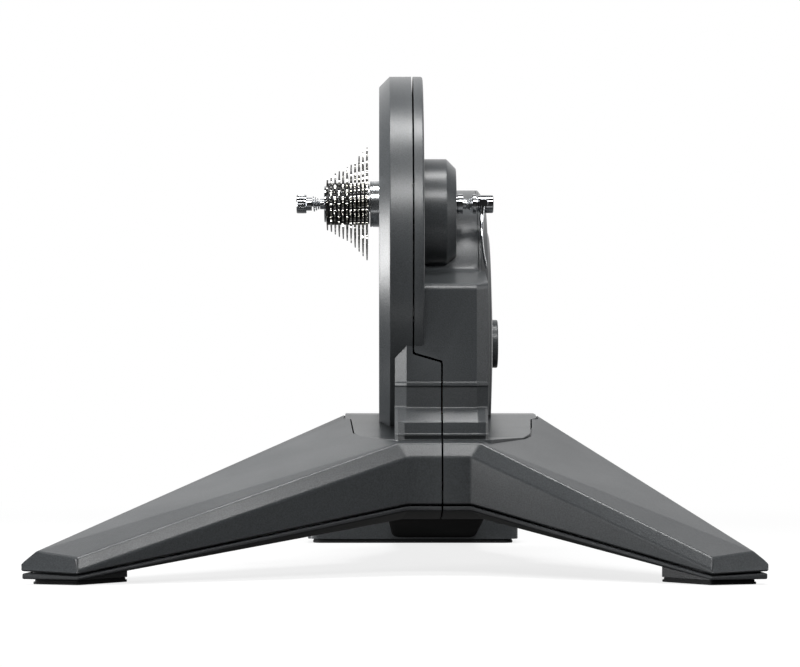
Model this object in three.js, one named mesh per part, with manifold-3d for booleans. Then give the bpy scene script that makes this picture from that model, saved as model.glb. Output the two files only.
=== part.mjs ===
// Direct drive bike trainer: a bike without its rear wheel is clamped on the axle, its chain turns the
// cassette, and a belt inside the round casing turns a braked flywheel.
// Millimetres. +Z is up, the bike's left-right direction is X, and -Y points to the bike's front wheel.
// The origin is on the floor, under the middle of the part. The cassette is on the -X side.
import * as THREE from "three";
import { mergeVertices } from "three/addons/utils/BufferGeometryUtils.js";
import Module from "manifold-3d";

const wasm = await Module();
wasm.setup();

// Running and seating clearances
const seatGap = 0.3;
const runGap = 0.5;
const seamGap = 1.6;
const overrun = 20;

// Bike axle and where it stands
const dropoutWidth = 130;
const axleY = -85;
const axleZ = 340;
const axleRadius = 7.5;
const axleBore = 3.1;
const stubRadius = 4.9;
const stubLength = 4;
const endCapRadius = 9.5;
const endCapLength = 8;

// Round casing over the belt
const discRadius = 170.2;
const discY = -40;
const discZ = 293.2;
const discLeft = -13.6;
const discRight = 27.4;
const discSplit = 17.5;
const discChamfer = 10;
const discRound = 2.4;
const wall = 3;

// Boss of the casing round the axle
const bossRadius = 49.5;
const bossDrop = 9;
const bossRight = 58.3;
const bossChamfer = 9;

// Flywheel housing, its domed cover and the cap on the cover
const flywheelY = 30;
const flywheelZ = 210;
const drumRadius = 150;
const drumLeft = 27;
const drumRight = 79.5;
const domeEdge = 2.2;
const domeRingRadius = 141;
const domeRingX = 89;
const domeStepRadius = 113;
const domeRaisedRadius = 107.5;
const domeRaisedX = 92.8;
const domeFaceRadius = 60;
const domeFaceX = 95.2;
const capRadius = 23.5;
const capLength = 6.8;
const capRound = 2;

// Neck and its plinth, whose outline is seen from the side
const neckLeft = 0.9;
const neckRight = 85.2;
const neckChamferWidth = 10.4;
const neckChamferDepth = 7;
const neckFrontY = -186;
const neckTopZ = 262;
const shoulderY = -104;
const shoulderZ = 276;
const neckBackY = 20;
const waistDepth = 6;
const waistTopZ = 168;
const waistZ = 150;
const plinthReach = 9;
const plinthTopZ = 137;
const plinthFootZ = 110;
const splitX = 43.3;
const splitHighZ = 199;
const splitLowZ = 191.5;

// Deck, the plate that the casing stands on, let into the tops of the legs
const baseX = 45;
const deckHalfWidth = 91;
const deckFrontY = -195;
const deckFrontHalfWidth = 42;
const deckFrontZ = 121.2;
const deckKneeY = -144;
const deckKneeHalfWidth = 74;
const deckKneeZ = 122;
const deckWaistY = -119;
const deckWaistHalfWidth = 81;
const deckMidY = -36;
const deckMidZ = 142;
const deckWideY = 10;
const deckWideZ = 142.5;
const deckBackY = 150;
const deckBackZ = 112;
const deckBackHalfWidth = 46;
const deckThickness = 4;
const deckLedge = 6;

// Front legs: the hub that they meet in, and their tips
const hubFrontY = -210;
const hubFaceHalfWidth = 28;
const hubRidgeHalfWidth = 38;
const hubSeamZ = 63.5;
const hubLowRidgeZ = 106;
const hubHighRidgeZ = 118.5;
const hubHighRidgeY = -205;
const hubSideZ = 130;
const hubSideReach = 7;
const tipSpan = 642;
const tipFrontInset = 50;
const tipFrontY = -335;
const tipSeamZ = 9;
const tipLowRidgeZ = 12.4;
const tipHighRidgeZ = 23.6;
const tipHighRidgeBack = 4;
const tipTopInset = 12;
const tipTopBack = 24;
const tipTopZ = 28;
const tipSideBack = 15;
const tipSideZ = 18;
const tipSideSeamZ = 11;

// Lower covers
const coverLip = 4.2;
const coverInset = 1.2;
const bellyY = -140;
const bellyZ = 47;
const coverWall = 3;

// Front feet and their rubber pads: each corner's inset from the tip's side and its setback from the front
const footCorners = [
  [91, 47],
  [51, 5],
  [8, 18],
  [52, 67],
];
const footTopZ = 14;
const padThickness = 4;
const padInset = 1;

// Rear leg, beam and foot
const rearLegHalfWidth = 46;
const rearTopInset = 12;
const rearHubSeamZ = 60;
const rearMidSeamZ = 39;
const rearEndSeamZ = 12;
const rearEndTopZ = 40;
const rearEndY = 284.5;
const rearFootLeft = -90;
const rearFootRight = 132;
const rearFootFrontY = 285;
const rearFootBackY = 335;
const rearFootHeight = 30;
const rearFootChamfer = 8;
const rearFootCorner = 10;
const beamHalfWidth = 28;
const beamHeight = 20;
const beamWall = 3;

// Main frame inside
const frameWebX = 31;
const frameWebKneeY = -92;
const frameWebKneeZ = 286;
const frameWebThickness = 8;
const frameBaseZ = 66;
const frameBaseThickness = 8;
const frameBaseHalfWidth = 60;
const frameBaseFrontY = -150;
const frameBaseBackY = 70;
const frameAxleBossRadius = 20;
const frameAxleBossRight = 53;
const frameWebFrontY = -98;
const frameWebHalfWidth = 34;
const bearingHousingRadius = 23;
const housingLength = 34;
const railWidth = 14;
const railSpread = 36;

// Hub, pulleys and belt
const hubCollarRadius = 21.5;
const hubCollarLeft = -22;
const hubOpening = 23.5;
const hubRight = 17;
const hubFlangeRadius = 40;
const hubFlangeThickness = 4;
const beltRoom = 5;
const pulleyWidth = 18;
const pulleyLeft = -5;
const pulleyRimThickness = 6;
const pulleyWebThickness = 5;
const pulleyHoleShare = 0.31;
const pulleyHoles = 5;
const ratio = 6.5;
const beltThickness = 3;
const beltWidth = 15;
const bearingWidth = 10;
const bearingRadius = 17;
const shaftRadius = 7.5;

// Freehub and cassette
const freehubRadius = 17.3;
const freehubGroove = 1.6;
const splineCount = 9;
const freehubBore = 12.5;
const freehubBearingWidth = 8;
const sprocketTeeth = [25, 23, 21, 19, 17, 16, 15, 14, 13, 12, 11];
const sprocketPitch = 3.72;
const sprocketThickness = 1.8;
const largestSprocketX = -24.9;
const chainPitch = 12.7;
const chainRoller = 7.75;
const toothRise = 2.3;
const spacerRadius = 19.6;
const lockringRadius = 17;
const lockringBore = 12.5;
const lockringThickness = 1.6;

// Flywheel and brake
const flywheelRadius = 112;
const flywheelThickness = 22;
const flywheelRim = 34;
const flywheelWeb = 14;
const flywheelHubRadius = 26;
const statorInner = 46;
const statorOuter = 100;
const statorThickness = 3;
const coilCount = 4;
const coilRadius = 19;
const coilLength = 9;
const coilCircle = 74;
const coreRadius = 8;
const brakeGap = 2;

// Control board and power inlet
const boardWidth = 50;
const boardHeight = 60;
const boardThickness = 1.6;
const boardBack = 6;
const inletX = 62;
const inletRadius = 5.5;
const inletFlange = 8;
const inletBore = 3.2;
const inletLength = 10;
const inletZ = 168;

// Quick release
const rodRadius = 2.5;
const nutRadius = 8.7;
const nutLength = 14.5;
const nutCollarRadius = 6.2;
const nutCollarLength = 5;
const springLength = 7;
const springLargeRadius = 7.4;
const springSmallRadius = 4.4;
const springWire = 0.9;
const springTurns = 3;
const springSteps = 10;
const headRadius = 8.5;
const headLength = 15.9;
const flangeRadius = 9.2;
const flangeLength = 3.8;
const camRadius = 3.8;
const camSetback = 6;
const camInset = 1.5;
const leverEyeRadius = 4.6;
const leverEyeWidth = 5;
const leverThickness = 3.4;
const leverLength = 61.6;
const leverDip = 4.8;
const leverBow = 2.6;
const leverLean = 12;
const paddleWidth = 11;
const paddleStart = 34;

// How finely round shapes are cut
const largeSides = 64;
const innerSides = 36;
const mediumSides = 24;
const smallSides = 14;

// Shares of a tooth period where the flank points of a sprocket tooth lie, and their heights
const toothAngleShares = [-0.4, -0.13, 0.13, 0.4];
const toothHeightShares = [1, 0, 0, 1];
const splineAngleShares = [-0.32, 0.32, 0.38, 0.62];

const dropoutLeft = -dropoutWidth / 2;
const dropoutRight = dropoutWidth / 2;
const tipSideX = tipSpan / 2;
const tipFrontX = tipSideX - tipFrontInset;
const tipTopX = tipSideX - tipTopInset;
const tipTopY = tipFrontY + tipTopBack;
const tipSideY = tipFrontY + tipSideBack;

function solidOf(geometry) {
  const bare = geometry.index ? geometry.toNonIndexed() : geometry.clone();
  bare.deleteAttribute("normal");
  bare.deleteAttribute("uv");
  const merged = mergeVertices(bare, 1e-4);
  return new wasm.Manifold(
    new wasm.Mesh({
      numProp: 3,
      vertProperties: merged.attributes.position.array,
      triVerts: new Uint32Array(merged.index.array),
    }),
  );
}

function geometryOf(solid) {
  const mesh = solid.getMesh();
  const places = new Float32Array(mesh.numVert * 3);
  for (let i = 0; i < mesh.numVert; i++) {
    places.set(mesh.vertProperties.subarray(i * mesh.numProp, i * mesh.numProp + 3), i * 3);
  }
  const geometry = new THREE.BufferGeometry();
  geometry.setAttribute("position", new THREE.BufferAttribute(places, 3));
  geometry.setIndex(new THREE.BufferAttribute(mesh.triVerts, 1));
  const flat = geometry.toNonIndexed();
  flat.computeVertexNormals();
  return flat;
}

// A body turned about an axis along X. The profile is [x, radius] from the left end to the right end.
function turned(profile, y, z, sides) {
  const points = profile.map(([x, radius]) => new THREE.Vector2(radius, x));
  const geometry = new THREE.LatheGeometry(points, sides);
  geometry.rotateZ(-Math.PI / 2);
  geometry.translate(0, y, z);
  return solidOf(geometry);
}

function rod(left, right, radius, y, z, sides) {
  return turned([[left, 0], [left, radius], [right, radius], [right, 0]], y, z, sides);
}

function ring(left, right, outer, inner, y, z, sides) {
  const profile = [[left, inner], [left, outer], [right, outer], [right, inner], [left, inner]];
  return turned(profile, y, z, sides);
}

function outline(points) {
  return new THREE.Shape(points.map(([u, v]) => new THREE.Vector2(u, v)));
}

// A side outline in [y, z], pushed along X from left to right.
function acrossX(shape, left, right, curveSegments = smallSides / 2) {
  const depth = right - left;
  const geometry = new THREE.ExtrudeGeometry(shape, { depth, bevelEnabled: false, curveSegments });
  const turn = new THREE.Matrix4().makeBasis(
    new THREE.Vector3(0, 1, 0),
    new THREE.Vector3(0, 0, 1),
    new THREE.Vector3(1, 0, 0),
  );
  geometry.applyMatrix4(turn);
  geometry.translate(left, 0, 0);
  return solidOf(geometry);
}

// A front outline in [x, z], pushed along Y from front to back.
function alongY(shape, front, back) {
  const geometry = new THREE.ExtrudeGeometry(shape, { depth: back - front, bevelEnabled: false });
  geometry.rotateX(Math.PI / 2);
  geometry.translate(0, back, 0);
  return solidOf(geometry);
}

// A plan outline in [x, y], pushed up from bottom to top.
function upZ(shape, bottom, top) {
  const geometry = new THREE.ExtrudeGeometry(shape, { depth: top - bottom, bevelEnabled: false });
  geometry.translate(0, 0, bottom);
  return solidOf(geometry);
}

function block(left, right, front, back, bottom, top) {
  const geometry = new THREE.BoxGeometry(right - left, back - front, top - bottom);
  geometry.translate((left + right) / 2, (front + back) / 2, (bottom + top) / 2);
  return solidOf(geometry);
}

// A skin over rings of points, closed by a flat fan at each end.
function loft(rings) {
  const places = [];
  const count = rings[0].length;
  const middle = (points) =>
    points
      .reduce((sum, point) => sum.add(new THREE.Vector3(...point)), new THREE.Vector3())
      .divideScalar(points.length)
      .toArray();
  for (let r = 0; r + 1 < rings.length; r++) {
    for (let i = 0; i < count; i++) {
      const j = (i + 1) % count;
      const [a, b] = [rings[r][i], rings[r][j]];
      const [c, d] = [rings[r + 1][j], rings[r + 1][i]];
      places.push(...a, ...b, ...c, ...a, ...c, ...d);
    }
  }
  const first = rings[0];
  const last = rings[rings.length - 1];
  for (let i = 0; i < count; i++) {
    const j = (i + 1) % count;
    places.push(...middle(first), ...first[j], ...first[i]);
    places.push(...middle(last), ...last[i], ...last[j]);
  }
  const geometry = new THREE.BufferGeometry();
  geometry.setAttribute("position", new THREE.BufferAttribute(new Float32Array(places), 3));
  const made = solidOf(geometry);
  if (made.volume() > 0) return made;
  return loft([...rings].reverse());
}

const discShell = turned(
  [
    [discLeft, 0],
    [discLeft, discRadius - discChamfer],
    [discLeft + discChamfer, discRadius],
    [discRight - discRound, discRadius],
    [discRight, discRadius - discRound],
    [discRight, 0],
  ],
  discY,
  discZ,
  largeSides,
);
const discHollow = turned(
  [
    [discLeft + wall, 0],
    [discLeft + wall, discRadius - discChamfer - wall / 2],
    [discLeft + discChamfer + wall / 2, discRadius - wall],
    [discRight - wall, discRadius - wall],
    [discRight - wall, 0],
  ],
  discY,
  discZ,
  largeSides,
);

const bossZ = axleZ - bossDrop;
const bossShell = turned(
  [
    [discRight - wall, 0],
    [discRight - wall, bossRadius],
    [bossRight - bossChamfer, bossRadius],
    [bossRight, bossRadius - bossChamfer],
    [bossRight, 0],
  ],
  axleY,
  bossZ,
  mediumSides,
);
const bossHollow = turned(
  [
    [discRight - 2 * wall, 0],
    [discRight - 2 * wall, bossRadius - wall],
    [bossRight - bossChamfer - wall / 2, bossRadius - wall],
    [bossRight - wall, bossRadius - bossChamfer - wall / 2],
    [bossRight - wall, 0],
  ],
  axleY,
  bossZ,
  mediumSides,
);

const drumShell = rod(drumLeft, drumRight, drumRadius, flywheelY, flywheelZ, largeSides);
const drumHollow = rod(
  drumLeft + wall,
  drumRight + overrun,
  drumRadius - wall,
  flywheelY,
  flywheelZ,
  largeSides,
);

const neckRise = (shoulderZ - neckTopZ) / (shoulderY - neckFrontY);

// The neck's side outline, moved back by a chamfer and inwards by a wall.
function neckRing(x, back, inset) {
  const front = neckFrontY + back + inset;
  const lift = inset - back * neckRise;
  return [
    [x, neckBackY - inset, plinthFootZ - inset * overrun],
    [x, front - plinthReach, plinthFootZ - inset * overrun],
    [x, front - plinthReach, plinthTopZ - inset / 2],
    [x, front + waistDepth, waistZ],
    [x, front, waistTopZ + inset / 2],
    [x, front, neckTopZ - lift],
    [x, shoulderY + back, shoulderZ - lift],
    [x, neckBackY - inset, shoulderZ - inset],
  ];
}

function neckLoft(inset) {
  return loft([
    neckRing(neckLeft + inset, neckChamferDepth, inset),
    neckRing(neckLeft + neckChamferWidth, 0, inset),
    neckRing(neckRight - neckChamferWidth, 0, inset),
    neckRing(neckRight - inset, neckChamferDepth, inset),
  ]);
}

// Plan of the deck, grown or shrunk by an offset.
function deckPlan(grow) {
  const half = [
    [deckFrontHalfWidth + grow / 2, deckFrontY - grow],
    [deckKneeHalfWidth + grow, deckKneeY - grow],
    [deckWaistHalfWidth + grow, deckWaistY],
    [deckHalfWidth + grow, deckMidY],
    [deckHalfWidth + grow, deckWideY],
    [deckBackHalfWidth + grow, deckBackY + grow],
  ];
  const right = half.map(([x, y]) => [baseX + x, y]);
  const left = half.map(([x, y]) => [baseX - x, y]);
  return outline([...right, ...left.reverse()]);
}

// Everything above the line that lies a little below the deck's top.
function aboveDeck(below, top) {
  const rise = (deckKneeZ - deckFrontZ) / (deckKneeY - deckFrontY);
  const fall = (deckBackZ - deckWideZ) / (deckBackY - deckWideY);
  const side = outline([
    [tipFrontY, deckFrontZ - below - rise * (deckFrontY - tipFrontY)],
    [deckKneeY, deckKneeZ - below],
    [deckMidY, deckMidZ - below],
    [deckWideY, deckWideZ - below],
    [rearFootBackY, deckBackZ - below + fall * (rearFootBackY - deckBackY)],
    [rearFootBackY, top],
    [tipFrontY, top],
  ]);
  return acrossX(side, baseX - deckHalfWidth - overrun, baseX + deckHalfWidth + overrun);
}

const casingTop = discZ + discRadius + overrun;
const deck = upZ(deckPlan(0), plinthFootZ - overrun, deckWideZ + overrun)
  .intersect(aboveDeck(deckThickness, casingTop))
  .subtract(aboveDeck(0, casingTop));

// The two casings before they are split, hollow inside and open towards the base.
function casingBody() {
  const skin = discShell.add(bossShell).add(drumShell).add(neckLoft(0));
  const aboveFloor = skin.intersect(aboveDeck(deckThickness, casingTop));
  const hollow = discHollow.add(bossHollow).add(drumHollow).add(neckLoft(wall));
  const axleHole = rod(0, bossRight + overrun, endCapRadius + seatGap, axleY, axleZ, smallSides);
  const hubHole = rod(discLeft - overrun, 0, hubOpening, axleY, axleZ, mediumSides);
  const shaftOpening = bearingHousingRadius + runGap;
  const shaftHole = rod(0, drumLeft + overrun, shaftOpening, flywheelY, flywheelZ, mediumSides);
  const inletHole = inletTube(inletRadius + seatGap, -overrun, overrun);
  const inletSeat = inletTube(inletFlange + seatGap, 0, overrun);
  const coverRoom = rod(drumRight, domeFaceX, drumRadius + seatGap, flywheelY, flywheelZ, largeSides);
  return [hollow, axleHole, hubHole, shaftHole, inletHole, inletSeat].reduce(
    (body, hole) => body.subtract(hole),
    aboveFloor.subtract(coverRoom.intersect(aboveDeck(0, casingTop))).add(deck),
  );
}

function inletTube(radius, from, to) {
  const shape = new THREE.Shape().absarc(inletX, inletZ, radius, 0, 2 * Math.PI);
  const wallY = flywheelY + Math.sqrt(drumRadius ** 2 - (flywheelZ - inletZ) ** 2);
  const geometry = new THREE.ExtrudeGeometry(shape, {
    depth: to - from,
    bevelEnabled: false,
    curveSegments: smallSides / 2,
  });
  geometry.rotateX(Math.PI / 2);
  geometry.translate(0, wallY + to, 0);
  return solidOf(geometry);
}

// The parting line runs round the disc, steps over the neck and runs down its middle.
function leftOfSplit(shift) {
  const bottom = bellyZ - overrun;
  return alongY(
    outline([
      [discLeft - 10 * overrun, bottom],
      [splitX + shift, bottom],
      [splitX + shift, splitLowZ + shift],
      [discSplit + shift, splitHighZ + shift],
      [discSplit + shift, casingTop],
      [discLeft - 10 * overrun, casingTop],
    ]),
    tipFrontY - overrun,
    rearFootBackY,
  );
}

const casing = casingBody();
const leftCasing = casing.intersect(leftOfSplit(-seamGap / 2));
const rightCasing = casing.subtract(leftOfSplit(seamGap / 2));

function flywheelCover() {
  const rim = drumRight + seatGap;
  const skin = turned(
    [
      [rim, 0],
      [rim, drumRadius],
      [rim + domeEdge, drumRadius],
      [domeRingX, domeRingRadius],
      [domeRingX, domeStepRadius],
      [domeRaisedX, domeRaisedRadius],
      [domeFaceX, domeFaceRadius],
      [domeFaceX, 0],
    ],
    flywheelY,
    flywheelZ,
    largeSides,
  );
  const hollow = turned(
    [
      [rim - overrun, 0],
      [rim - overrun, drumRadius - wall],
      [rim, drumRadius - wall],
      [domeRingX - wall, domeRingRadius - wall],
      [domeRingX - wall, domeStepRadius - wall],
      [domeRaisedX - wall, domeRaisedRadius - wall],
      [domeFaceX - wall, domeFaceRadius],
      [domeFaceX - wall, 0],
    ],
    flywheelY,
    flywheelZ,
    largeSides,
  );
  const aboveBase = block(
    rim - overrun,
    domeFaceX + overrun,
    flywheelY - drumRadius - overrun,
    flywheelY + drumRadius + overrun,
    deckWideZ + seatGap,
    casingTop,
  );
  return skin.subtract(hollow).intersect(aboveBase);
}

function flywheelCap() {
  const left = domeFaceX + seatGap;
  const right = left + capLength;
  return turned(
    [
      [left, 0],
      [left, capRadius],
      [right - capRound, capRadius],
      [right, capRadius - capRound],
      [right, 0],
    ],
    flywheelY,
    flywheelZ,
    mediumSides,
  );
}

// A front leg's skin from the middle of the hub to the tip. Rings go seam, ridges, top, side, seam.
function legLoft(side, inset, open) {
  const y = (value) => value + inset;
  const back = (value) => value - inset;
  const hub = (x, spread) => [
    [x(hubFaceHalfWidth, spread), y(hubFrontY), hubSeamZ - open],
    [x(hubFaceHalfWidth, spread), y(hubFrontY), hubLowRidgeZ - inset / 2],
    [x(hubRidgeHalfWidth, spread), y(hubHighRidgeY), hubHighRidgeZ - inset],
    [x(deckHalfWidth, spread), back(deckMidY), deckMidZ - 1.5 * inset],
    [x(deckHalfWidth + hubSideReach - inset, spread), back(deckMidY), hubSideZ - inset],
    [x(deckHalfWidth + hubSideReach - inset, spread), back(deckMidY), rearHubSeamZ - open],
  ];
  const middle = splitX + side * (seamGap / 2) - side * inset * overrun;
  const inner = hub(() => middle, 0);
  const outer = hub((half) => baseX + side * half, 1);
  const tip = [
    [side * (tipFrontX - inset), y(tipFrontY) + inset, tipSeamZ - open],
    [side * (tipFrontX - inset), y(tipFrontY) + inset, tipLowRidgeZ - inset / 2],
    [side * (tipFrontX - inset), y(tipFrontY + tipHighRidgeBack) + inset / 2, tipHighRidgeZ - inset],
    [side * (tipTopX - inset), back(tipTopY) + inset / 2, tipTopZ - inset],
    [side * (tipSideX - 2 * inset), back(tipSideY), tipSideZ - inset / 2],
    [side * (tipSideX - 2 * inset), back(tipSideY), tipSideSeamZ - open],
  ];
  return loft([inner, outer, tip]);
}

const deckRecess = upZ(deckPlan(seatGap), plinthFootZ - 2 * overrun, casingTop).intersect(
  aboveDeck(deckThickness + seatGap, casingTop),
);
const deckOpening = upZ(deckPlan(-deckLedge), frameBaseZ, casingTop);

function legShell(side) {
  const skin = legLoft(side, 0, 0).subtract(legLoft(side, wall, overrun));
  return skin.subtract(deckRecess).subtract(deckOpening);
}

// The lower cover follows the seam, then falls away as a shallow belly.
function coverLoft(side, inset, lift, drop) {
  const seam = seamGap - lift;
  const floor = inset - drop;
  const hub = (x) => [
    [x(hubFaceHalfWidth), hubFrontY + coverInset + inset, hubSeamZ - seam],
    [x(deckHalfWidth), deckMidY - inset, rearHubSeamZ - seam],
    [x(deckHalfWidth), deckMidY - inset, bellyZ + floor],
    [x(hubRidgeHalfWidth), bellyY, bellyZ + floor],
    [x(hubFaceHalfWidth), hubFrontY + coverInset + inset, hubSeamZ - seamGap - coverLip + floor],
  ];
  const middle = splitX + side * (seamGap / 2 - inset * overrun);
  const tipX = tipFrontX - coverInset - inset;
  const sideX = tipSideX - coverInset - 2 * inset;
  const tipY = tipFrontY + coverInset + 2 * inset;
  const bottomZ = padThickness + seatGap + floor;
  const tip = [
    [side * tipX, tipY, tipSeamZ - seam],
    [side * sideX, tipSideY - inset, tipSideSeamZ - seam],
    [side * sideX, tipSideY - inset, bottomZ],
    [side * ((tipX + sideX) / 2), (tipY + tipSideY) / 2 + inset, bottomZ],
    [side * tipX, tipY, bottomZ],
  ];
  return loft([hub(() => middle), hub((half) => baseX + side * half), tip]);
}

function footPlan(side) {
  return outline(footCorners.map(([inset, back]) => [side * (tipSideX - inset), tipFrontY + back]));
}

function legCover(side) {
  const tray = coverLoft(side, 0, 0, 0).subtract(coverLoft(side, coverWall, overrun, 0));
  const foot = upZ(footPlan(side), padThickness + seatGap, footTopZ)
    .intersect(coverLoft(side, seatGap, -seatGap, overrun))
    .subtract(coverLoft(side, coverWall / 2, overrun, 0));
  return tray.add(foot);
}

function rearRing(y, bottomHalf, topHalf, seamZ, sideZ, topZ) {
  return [
    [baseX - bottomHalf, y, seamZ],
    [baseX + bottomHalf, y, seamZ],
    [baseX + bottomHalf, y, sideZ],
    [baseX + topHalf, y, topZ],
    [baseX - topHalf, y, topZ],
    [baseX - bottomHalf, y, sideZ],
  ];
}

function rearLoft(inset, open) {
  const wide = deckHalfWidth + hubSideReach - inset;
  const top = deckHalfWidth - inset;
  const narrow = rearLegHalfWidth + hubSideReach - inset;
  const narrowTop = rearLegHalfWidth - inset;
  const low = rearLegHalfWidth - inset;
  const reach = inset * overrun;
  const endTop = low - rearTopInset + inset / 2;
  const roundDrop = deckMidZ - hubSideZ;
  const wideSideZ = deckWideZ - roundDrop - inset;
  const backSideZ = deckBackZ - roundDrop - inset;
  const endSideZ = rearFootHeight - inset - rearFootChamfer / 2;
  return loft([
    rearRing(deckMidY + runGap - reach, wide, top, rearHubSeamZ - open, hubSideZ - inset, deckMidZ - inset),
    rearRing(deckWideY, wide, top, rearHubSeamZ - open, wideSideZ, deckWideZ - inset),
    rearRing(deckBackY, narrow, narrowTop, rearMidSeamZ - open, backSideZ, deckBackZ - inset),
    rearRing(rearEndY, low, endTop, rearEndSeamZ - open, endSideZ, rearEndTopZ - inset),
  ]);
}

function rearLegShell() {
  return rearLoft(0, 0).subtract(rearLoft(wall, overrun)).subtract(deckRecess).subtract(deckOpening);
}

function rearLegCover() {
  const plate = (y, half, seamZ) => [
    [baseX - half + coverInset, y, seamZ - seamGap - coverLip],
    [baseX + half - coverInset, y, seamZ - seamGap - coverLip],
    [baseX + half - coverInset, y, seamZ - seamGap],
    [baseX - half + coverInset, y, seamZ - seamGap],
  ];
  const wide = deckHalfWidth + hubSideReach;
  const narrow = rearLegHalfWidth + hubSideReach;
  return loft([
    plate(deckMidY + runGap, wide, rearHubSeamZ),
    plate(deckWideY, wide, rearHubSeamZ),
    plate(deckBackY, narrow, rearMidSeamZ),
    plate(rearEndY, rearLegHalfWidth, rearEndSeamZ),
  ]);
}

function rearFoot() {
  const front = outline([
    [rearFootLeft, padThickness + seatGap],
    [rearFootRight, padThickness + seatGap],
    [rearFootRight, rearFootHeight - rearFootChamfer],
    [rearFootRight - rearFootChamfer, rearFootHeight],
    [rearFootLeft + rearFootChamfer, rearFootHeight],
    [rearFootLeft, rearFootHeight - rearFootChamfer],
  ]);
  return alongY(front, rearFootFrontY, rearFootBackY).intersect(upZ(rearFootPlan(0), 0, rearFootHeight));
}

function rearFootPlan(inset) {
  const left = rearFootLeft + inset;
  const right = rearFootRight - inset;
  const front = rearFootFrontY + inset;
  const back = rearFootBackY - inset;
  return outline([
    [left + rearFootCorner, front],
    [right - rearFootCorner, front],
    [right, front + rearFootCorner],
    [right, back - rearFootCorner],
    [right - rearFootCorner, back],
    [left + rearFootCorner, back],
    [left, back - rearFootCorner],
    [left, front + rearFootCorner],
  ]);
}

// A square tube bolted behind the frame's base plate, down to the rear foot.
function rearBeam() {
  const section = (y, bottom, inset) => [
    [baseX - beamHalfWidth + inset, y, bottom + inset],
    [baseX + beamHalfWidth - inset, y, bottom + inset],
    [baseX + beamHalfWidth - inset, y, bottom + beamHeight - inset],
    [baseX - beamHalfWidth + inset, y, bottom + beamHeight - inset],
  ];
  const frontZ = frameBaseZ + frameBaseThickness - beamHeight;
  const backZ = rearEndSeamZ + seatGap;
  const front = frameBaseBackY + seatGap;
  const back = rearFootFrontY - seatGap;
  const fall = (frontZ - backZ) / (back - front);
  return loft([section(front, frontZ, 0), section(back, backZ, 0)]).subtract(
    loft([
      section(front - overrun, frontZ + fall * overrun, beamWall),
      section(back + overrun, backZ - fall * overrun, beamWall),
    ]),
  );
}

// Main frame: a web that carries the axle and the flywheel bearings, on a base plate with two rails.
const hubBossLeft = hubRight + seatGap;
const housingLeft = frameWebX + frameWebThickness / 2 - housingLength / 2;
const housingRight = housingLeft + housingLength;

function mainFrame() {
  const baseTop = frameBaseZ + frameBaseThickness;
  const axleHalf = frameAxleBossRadius - wall;
  const web = acrossX(
    outline([
      [frameWebFrontY, frameBaseZ],
      [frameBaseBackY - railWidth, frameBaseZ],
      [flywheelY + bearingHousingRadius + frameWebHalfWidth, flywheelZ],
      [flywheelY + bearingHousingRadius, flywheelZ + frameWebHalfWidth],
      [axleY + axleHalf, axleZ],
      [axleY - axleHalf, axleZ],
      [frameWebKneeY, frameWebKneeZ],
    ]),
    frameWebX,
    frameWebX + frameWebThickness,
  );
  const base = block(
    baseX - frameBaseHalfWidth,
    baseX + frameBaseHalfWidth,
    frameBaseFrontY,
    frameBaseBackY,
    frameBaseZ,
    baseTop,
  );
  const rails = [-1, 1].map((side) => {
    const middle = baseX + side * railSpread;
    return block(
      middle - railWidth / 2,
      middle + railWidth / 2,
      bellyY,
      deckMidY - coverWall - railWidth,
      bellyZ + coverWall + seatGap,
      baseTop,
    );
  });
  return web
    .add(base)
    .add(rails[0])
    .add(rails[1])
    .add(rod(hubBossLeft, frameAxleBossRight, frameAxleBossRadius, axleY, axleZ, mediumSides))
    .add(rod(housingLeft, housingRight, bearingHousingRadius, flywheelY, flywheelZ, mediumSides))
    .subtract(rod(-overrun, dropoutRight, axleRadius + seatGap, axleY, axleZ, smallSides))
    .subtract(rod(-overrun, dropoutRight, bearingRadius + seatGap, flywheelY, flywheelZ, mediumSides));
}

// Axle: a hollow shaft with a thinner stub at each end, and a cap over each end that the dropouts sit on.
const leftCapRight = dropoutLeft + endCapLength;
const rightCapLeft = frameAxleBossRight + seatGap;

function axle() {
  return turned(
    [
      [dropoutLeft - stubLength, axleBore],
      [dropoutLeft - stubLength, stubRadius],
      [leftCapRight + seatGap, stubRadius],
      [leftCapRight + seatGap, axleRadius],
      [frameAxleBossRight, axleRadius],
      [frameAxleBossRight, stubRadius],
      [dropoutRight + stubLength, stubRadius],
      [dropoutRight + stubLength, axleBore],
      [dropoutLeft - stubLength, axleBore],
    ],
    axleY,
    axleZ,
    smallSides,
  );
}

function onAxle(left, right, outer, inner, sides) {
  return ring(left, right, outer, inner, axleY, axleZ, sides);
}

function onShaft(left, right, outer, inner, sides) {
  return ring(left, right, outer, inner, flywheelY, flywheelZ, sides);
}

// The large pulley fills the casing but for a belt and the room round it.
const pulleyShift = Math.hypot(discY - axleY, discZ - axleZ);
const pulleyRadius = discRadius - wall - pulleyShift - beltThickness - seatGap - beltRoom;
const pulleyWebRadius = pulleyRadius - pulleyRimThickness;
const pulleyHoleCircle = (hubFlangeRadius + pulleyWebRadius) / 2;
const pulleyHoleRadius = (pulleyWebRadius - hubFlangeRadius) * pulleyHoleShare;

// Hub: a collar outside the casing, a flange for the pulley inside it, and a barrel over two bearings.
const pulleyMiddle = pulleyLeft + pulleyWidth / 2;
const pulleyWebLeft = pulleyMiddle - pulleyWebThickness / 2;

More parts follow.
